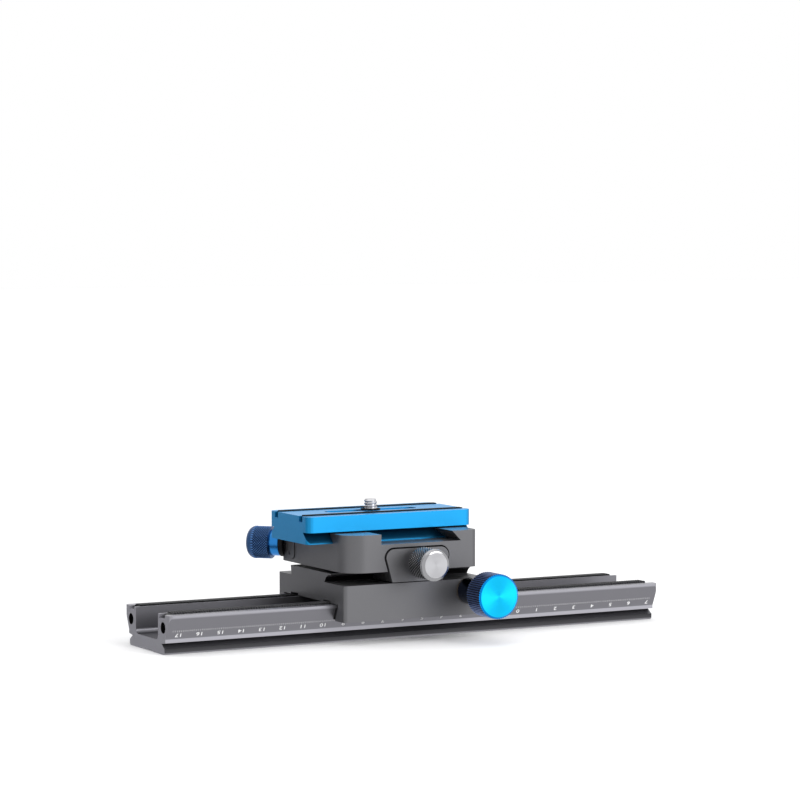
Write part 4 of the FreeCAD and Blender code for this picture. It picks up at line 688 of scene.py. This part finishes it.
class RAIL_OT_finishes(bpy.types.Operator):
    """Give every node its finish"""

    bl_idname = "rail.finishes"
    bl_label = "Finishes"

    def execute(self, context):
        s = context.scene.rail_finish

        def anodised(name, tint, roughness, strength):
            return metal(name, tint, roughness, s.anodised, grain=s.blast_grain, strength=strength)

        def blasted(name):
            return anodised(name, s.grey, s.blast_roughness, 0.35)

        # Painted shade on the carriage's dovetail in the gap under the clamp
        carriage = shade(blasted("AnodisedGreyLower"), s.grey, CARRIAGE_PAINTED_SHADE)
        # Painted shade on the clamp's downward faces
        clamp = shade(blasted("AnodisedGreyUpper"), s.grey, under=0.12)
        # Painted shade on the plate's lower part, its downward faces and its ends
        plate = shade(anodised("AnodisedBlue", s.blue, s.plate_roughness, 0.2), s.blue,
                      PLATE_PAINTED_SHADE, under=0.25, ends=0.73)
        finishes = {
            rail_metal(s): ["rail_extrusion"],
            carriage: ["carriage_body"],
            clamp: ["clamp_body"],
            blasted("AnodisedGrey"): ["lower_jaw", "corner_jaw"],
            plate: ["quick_release_plate"],
            drive_knob_metal(s): ["drive_knob"],
            metal("MachinedSteel", s.steel, 0.30): [
                "drive_shaft", "pinion", "lower_guide_pins", "corner_guide_pins",
                "lower_jaw_spring", "corner_jaw_spring", "lower_lock_screw",
                "corner_lock_screw", "camera_screw"],
            metal("BlackenedSteel", s.rack, 0.42): ["gear_rack"],
            metal("BlackOxide", s.black, 0.45, metallic=0.6): [
                "gib_screws", "drag_screw", "shaft_clip", "drive_knob_screw"],
            dull("SlideStrip", s.black, 0.55): [
                "guide_strip", "front_guide_pad", "rear_gib", "slide_pads", "lock_washer"],
            dull("Rubber", s.black, 0.75, grain=0.3 * MM, strength=0.3): [
                "front_grip_strip", "rear_grip_strip", "camera_screw_ring"],
            metal("Brass", s.brass, 0.30): ["front_bush", "rear_bush", "drag_shoe"],
        }
        for material, names in finishes.items():
            for name in names:
                paint(name, material)
        return {"FINISHED"}


class RAIL_OT_scale(bpy.types.Operator):
    """Print the millimetre ticks and centimetre numbers on the rail's front flank"""

    bl_idname = "rail.scale"
    bl_label = "Printed scale"

    def execute(self, context):
        s = context.scene.rail_scale
        ink = shader("ScaleInk", s.ink, 0.6)
        top = Vector((0.0, RAIL_LOW.y, FLANK_TOP))
        foot = Vector((0.0, RAIL_LOW.y + FLANK_INSET, FLANK_FOOT))
        down = (foot - top).normalized()
        out = down.cross(RIGHT)

        def seat(along, level):
            """Matrix that lays a flat drawing on the flank, its top towards the floor."""
            share = (top.z - level) / (top.z - foot.z)
            spot = top.lerp(foot, share) + RIGHT * along + out * s.thickness / 2
            turned = Matrix((down.cross(out), down, out)).transposed().to_4x4()
            return Matrix.Translation(spot) @ turned

        working = bmesh.new()
        broad = Matrix.Diagonal((s.digit_breadth, 1.0, 1.0, 1.0))
        for centimetre in range(-s.first, s.last + 1):
            curve = bpy.data.curves.new("Number", "FONT")
            curve.body = str(abs(centimetre))
            curve.size = s.digit_height / FIGURE_SHARE
            curve.align_x = "CENTER"
            curve.align_y = "CENTER"
            curve.extrude = s.thickness
            curve.offset = s.weight
            curve.space_character = s.digit_spacing
            drawing = new_object("Number", curve)
            mesh = plain_mesh(drawing)
            mesh.transform(seat(s.zero + centimetre * s.step, s.digit_level) @ broad)
            working.from_mesh(mesh)
            bpy.data.objects.remove(drawing)
            bpy.data.curves.remove(curve)
            bpy.data.meshes.remove(mesh)
        mesh = mesh_from("scale_numbers", working)
        mesh.materials.append(ink)
        numbers = new_object("scale_numbers", mesh)
        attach(numbers, "rail")

        millimetre = s.step / 10.0
        size = (s.tick_width, s.tick_length, s.thickness * 2.0)
        row = row_tree("TickRow", ink, s.ticks_left + s.ticks_right + 1, millimetre, size)
        ticks = row.grow(new_object("scale_ticks"))
        ticks.data.transform(seat(s.zero + s.ticks_right * millimetre, s.tick_level))
        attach(ticks, "rail")
        return {"FINISHED"}


def knurl_counts(settings, radius, run):
    """Diamonds round a knob, mesh segments round it and mesh steps along its knurl."""
    diamonds = round(2.0 * math.pi * radius / settings.pitch)
    return diamonds, diamonds * settings.samples, round(run / settings.pitch * settings.samples)


def second_finish(mesh, material, chosen):
    """Give another material to the faces whose middles are chosen."""
    mesh.materials.append(material)
    for face in mesh.polygons:
        face.material_index = 1 if chosen(face.center) else 0


class RAIL_OT_silver_knob(bpy.types.Operator):
    """Make the front lock knob with its diamond knurl"""

    bl_idname = "rail.silver_knob"
    bl_label = "Silver lock knob"

    def execute(self, context):
        s = context.scene.rail_knurl
        low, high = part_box("silver_knob")
        centre = (low + high) / 2
        radius = (high.x - low.x) / 2
        total = high.y - low.y
        neck, neck_radius = 4.0 * MM, 4.5 * MM
        screw_radius, screw_reach = 2.51 * MM, neck + 6.5 * MM
        # The plain shoulder behind the knurl, and the ring with its slope in front of it
        shoulder, ring, slope = 0.15 * MM, 0.3 * MM, 0.2 * MM
        # The edge's height, bend, place inside the knurl's crests and facet at the face
        edge, bend, inset, facet = 1.5 * MM, 1.35 * MM, 0.1 * MM, 0.12 * MM
        start, end = neck + shoulder, total - edge - ring
        diamonds, segments, steps = knurl_counts(s, radius, end - start)
        profile = [
            *plain((0.0, screw_reach), (screw_radius, screw_reach), (screw_radius, 0.0),
                   (neck_radius, 0.0), (neck_radius, neck), (radius - s.depth, neck)),
            *patterned(radius, start, end, steps)[1:-1],
            *plain((radius - s.depth, end), (radius, end + slope), (radius - inset, total - edge)),
            *rounded(radius - inset, total - facet, bend, 6),
            *plain((radius - edge - facet, total), (0.0, total)),
        ]

        tint = context.scene.rail_finish.silver
        material = turned_metal("TurnedSilver", tint, 0.32, centre,
                                line=0.2 * MM, strength=0.2, drawn=0.3)
        # Painted shade: the knurl's grooves are painted nearly black, and its crests a little lighter
        # than the plain metal
        darken_grooves(material, tint, toned(tint, 1.1), toned(tint, 0.08), start=0.22, end=0.62)
        tree = groove_tree("DiamondKnurlSilver", material, starts=diamonds, lead=1.7 * s.pitch,
                           depth=s.depth, crossed=True)
        shape = lathe("silver_knob_knurled", profile, segments)
        knob = tree.grow(new_object("silver_knob_knurled", shape))
        # The polished edge has a low roughness and is painted darker, a painted dark reflection
        polish_and_painted_reflection = metal("PolishedSilverPaintedReflection", toned(tint, 0.78), 0.12)
        polished_radius = radius - 0.2 * MM
        second_finish(knob.data, polish_and_painted_reflection, lambda spot: (
            spot.xy.length < polished_radius and total - edge < spot.z < total - facet))
        knob.data.transform(Matrix.Translation((centre.x, high.y, centre.z)) @ turn_to(FRONT))
        smooth(knob.data, 28.0)
        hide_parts("silver_knob")
        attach(knob, "lower_lock")
        return {"FINISHED"}


class RAIL_OT_blue_lock_knob(bpy.types.Operator):
    """Make the corner lock knob with its diamond knurl"""

    bl_idname = "rail.blue_lock_knob"
    bl_label = "Blue lock knob"

    def execute(self, context):
        s = context.scene.rail_knurl
        low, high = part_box("blue_lock_knob")
        radius = (high.z - low.z) / 2
        washer_half, play = 0.95 * MM, 0.05 * MM
        base = centre_of("lock_washer") + CORNER * (washer_half + play)
        total, bend = 16.0 * MM, 3.8 * MM
        collar, collar_radius, collar_chamfer = 4.5 * MM, 6.0 * MM, 0.3 * MM
        screw_radius, screw_reach = 2.51 * MM, collar + 5.75 * MM
        # The knurled body's chamfer at the collar, inside its crests, and the plain shoulder
        chamfer, inset, shoulder = 0.35 * MM, 0.05 * MM, 0.2 * MM
        start, end = collar + chamfer + shoulder, total - bend
        diamonds, segments, steps = knurl_counts(s, radius, end - start)
        profile = [
            *plain((0.0, screw_reach), (screw_radius, screw_reach), (screw_radius, 0.0),
                   (collar_radius - collar_chamfer, 0.0), (collar_radius, collar_chamfer),
                   (collar_radius, collar), (radius - inset - chamfer, collar),
                   (radius - inset, collar + chamfer)),
            *patterned(radius, start, end, steps)[1:-1],
            *rounded(radius, total, bend, 8),
            *plain((0.0, total)),
        ]

        finish = context.scene.rail_finish
        # Painted shade: the knurl's grooves are painted darker than its crests, and its plain faces
        # part way between
        crest = toned(finish.dark_blue, 2.2)
        material = metal("AnodisedDarkBlue", finish.dark_blue, 0.34, finish.anodised, strength=0.1)
        groove = toned(finish.dark_blue, 0.35)
        darken_grooves(material, crest, crest, groove, start=0.42, end=0.80)
        tree = groove_tree("DiamondKnurlBlue", material, starts=diamonds, lead=s.pitch,
                           depth=s.depth, crossed=True, rest=0.62)
        shape = lathe("blue_lock_knob_knurled", profile, segments)
        knob = tree.grow(new_object("blue_lock_knob_knurled", shape))
        # Just short of the collar's end, so the faces beyond it keep the knurl's finish
        collar_end = collar - 0.01 * MM
        second_finish(knob.data, metal("CollarBlue", finish.collar_blue, 0.28),
                      lambda spot: spot.z < collar_end)
        knob.data.transform(Matrix.Translation(base) @ turn_to(CORNER))
        smooth(knob.data, 28.0)
        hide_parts("blue_lock_knob")
        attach(knob, "corner_lock")
        return {"FINISHED"}


class RAIL_OT_camera_screw(bpy.types.Operator):
    """Make the camera screw with its thread"""

    bl_idname = "rail.camera_screw"
    bl_label = "Camera screw"

    def execute(self, context):
        s = context.scene.rail_screws
        low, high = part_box("camera_screw")
        centre = (low + high) / 2
        total = high.z - low.z
        thread = MOUNTS["camera_screw_thread"]["dims"]
        radius = thread["r_mm"] * MM
        root = radius - s.camera_depth
        head, head_radius = 3.2 * MM, (high.x - low.x) / 2
        neck, tip, run_in = 2.5 * MM, 0.8 * MM, 0.1 * MM
        segments, steps_a_turn = 72, 12
        end = total - tip
        start = end - thread["length_mm"] * MM
        steps = round((end - start) / s.camera_pitch * steps_a_turn)
        profile = [
            *plain((0.0, 0.0), (head_radius, 0.0), (head_radius, head), (neck, head),
                   (neck, start), (root, start)),
            *patterned(radius, start + run_in, end, steps),
            *plain((radius - tip, total), (0.0, total)),
        ]
        steel = NODES["camera_screw"].data.materials[0]
        tree = groove_tree("CameraThread", steel, starts=1, lead=s.camera_pitch,
                           depth=s.camera_depth, crossed=False)
        shape = lathe("camera_screw_threaded", profile, segments)
        screw = tree.grow(new_object("camera_screw_threaded", shape))
        screw.data.transform(Matrix.Translation((centre.x, centre.y, low.z)))
        smooth(screw.data, 40.0)
        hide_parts("camera_screw")
        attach(screw, "camera_screw_body")
        return {"FINISHED"}


def socket_screws(settings, name, node, tops, direction, radius, depth, body):
    """Pins with hex sockets, one for each top point, as one piece."""
    black = NODES[node].data.materials[0]
    tree = socket_tree(name + "Tree", black, radius, depth,
                       radius * settings.hex_share, settings.hex_depth)
    screw = tree.grow(new_object(name))
    working = bmesh.new()
    for top in tops:
        copy = screw.data.copy()
        copy.transform(Matrix.Translation(top - direction * depth / 2) @ turn_to(direction))
        working.from_mesh(copy)
        bpy.data.meshes.remove(copy)
    screw.data = mesh_from(name, working)
    screw.data.materials.append(black)
    smooth(screw.data, 35.0)
    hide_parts(node)
    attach(screw, body)


class RAIL_OT_set_screws(bpy.types.Operator):
    """Make the gib screws and the drive knob's screw with their hex sockets"""

    bl_idname = "rail.set_screws"
    bl_label = "Set screws"

    def execute(self, context):
        s = context.scene.rail_screws
        low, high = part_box("gib_screws")
        middle = (low + high) / 2
        radius = (high.z - low.z) / 2
        spread = (high.x - low.x) / 2 - radius
        tops = [Vector((middle.x + side * spread, high.y, middle.z)) for side in (-1, 0, 1)]
        socket_screws(s, "gib_set_screws", "gib_screws", tops, REAR,
                      radius, high.y - low.y, "carriage")

        low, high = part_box("drive_knob_screw")
        middle = (low + high) / 2
        top = Vector((middle.x, middle.y, low.z))
        socket_screws(s, "drive_knob_set_screw", "drive_knob_screw", [top], -UP,
                      (high.x - low.x) / 2, high.z - low.z, "drive")
        return {"FINISHED"}


def add_floor(s):
    """A large pale floor just under the rail."""
    gap = 0.02 * MM
    working = bmesh.new()
    bmesh.ops.create_grid(working, x_segments=1, y_segments=1, size=s.floor_reach)
    floor = new_object("floor", mesh_from("floor", working))
    floor.location.z = RAIL_LOW.z - gap
    floor.data.materials.append(shader("Floor", s.floor, 0.9, specular=0.1))
    floor.visible_glossy = False


def add_card(s):
    """A card that only reflections show."""
    half = s.card_width / 2
    corners = ((-half, 0.0), (half, 0.0), (half, s.card_height), (-half, s.card_height))
    working = bmesh.new()
    working.faces.new([working.verts.new((across, 0.0, up)) for across, up in corners])
    card = new_object("card", mesh_from("card", working))
    card.location = s.card_place
    card.rotation_euler.z = s.card_turn
    card.data.materials.append(dull("Card", s.card, 0.9))
    card.visible_camera = False
    card.visible_diffuse = False
    card.visible_shadow = False


def aim(piece, direction):
    """Turn a light or camera to look along a direction, upright."""
    piece.rotation_euler = direction.to_track_quat("-Z", "Y").to_euler()


def add_lights(s):
    """A large light at the front right and a soft one overhead."""
    lamp = bpy.data.lights.new("key", "AREA")
    lamp.energy = s.key_power
    lamp.size = s.key_size
    key = new_object("key", lamp)
    key.location = s.key_place
    aim(key, (PLATE_LOW + PLATE_HIGH) / 2 - key.location)
    lamp = bpy.data.lights.new("top", "SUN")
    lamp.energy = s.top_power
    lamp.angle = s.top_spread
    new_object("top", lamp).location.z = 1.0


def add_surround(s, scene):
    """Even light from all around, and colours shown as they are."""
    world = bpy.data.worlds.new("Surround")
    world.use_nodes = True
    background = world.node_tree.nodes["Background"]
    background.inputs["Color"].default_value = (*s.world, 1.0)
    background.inputs["Strength"].default_value = s.world_power
    scene.world = world
    scene.view_settings.view_transform = "Standard"


def add_camera(s, scene):
    """The camera that looks at the rail from the front left."""
    camera = bpy.data.cameras.new("camera")
    camera.sensor_width = s.sensor
    camera.lens = s.focal
    camera.clip_start = 0.05
    eye = new_object("camera", camera)
    eye.location = s.eye_place
    level = math.cos(s.eye_pitch)
    aim(eye, Vector((math.sin(s.eye_yaw) * level, math.cos(s.eye_yaw) * level,
                     math.sin(s.eye_pitch))))
    scene.camera = eye


class RAIL_OT_stage(bpy.types.Operator):
    """Add the floor, the card, the lights and the camera"""

    bl_idname = "rail.stage"
    bl_label = "Stage"

    def execute(self, context):
        s = context.scene.rail_stage
        add_floor(s)
        add_card(s)
        add_lights(s)
        add_surround(s, context.scene)
        add_camera(s, context.scene)
        return {"FINISHED"}


class RAIL_PT_looks(bpy.types.Panel):
    """Buttons and settings of the rail's looks"""

    bl_idname = "RAIL_PT_looks"
    bl_label = "Macro focusing rail"
    bl_space_type = "VIEW_3D"
    bl_region_type = "UI"
    bl_category = "Rail"

    def draw(self, context):
        for operator in OPERATORS:
            self.layout.operator(operator.bl_idname)
        for name in SETTINGS:
            box = self.layout.box()
            group = getattr(context.scene, name)
            for label in group.__annotations__:
                box.prop(group, label)


OPERATORS = (
    RAIL_OT_finishes,
    RAIL_OT_scale,
    RAIL_OT_silver_knob,
    RAIL_OT_blue_lock_knob,
    RAIL_OT_camera_screw,
    RAIL_OT_set_screws,
    RAIL_OT_stage,
)
CLASSES = (*SETTINGS.values(), *OPERATORS, RAIL_PT_looks)


def register():
    for cls in CLASSES:
        bpy.utils.register_class(cls)
    for name, group in SETTINGS.items():
        setattr(bpy.types.Scene, name, bpy.props.PointerProperty(type=group))


def unregister():
    for name in SETTINGS:
        delattr(bpy.types.Scene, name)
    for cls in reversed(CLASSES):
        bpy.utils.unregister_class(cls)


def main():
    """Dress the frame."""
    register()
    bpy.ops.rail.finishes()
    bpy.ops.rail.scale()
    bpy.ops.rail.silver_knob()
    bpy.ops.rail.blue_lock_knob()
    bpy.ops.rail.camera_screw()
    bpy.ops.rail.set_screws()
    bpy.ops.rail.stage()
    bpy.context.view_layer.update()


if __name__ == "__main__":
    main()
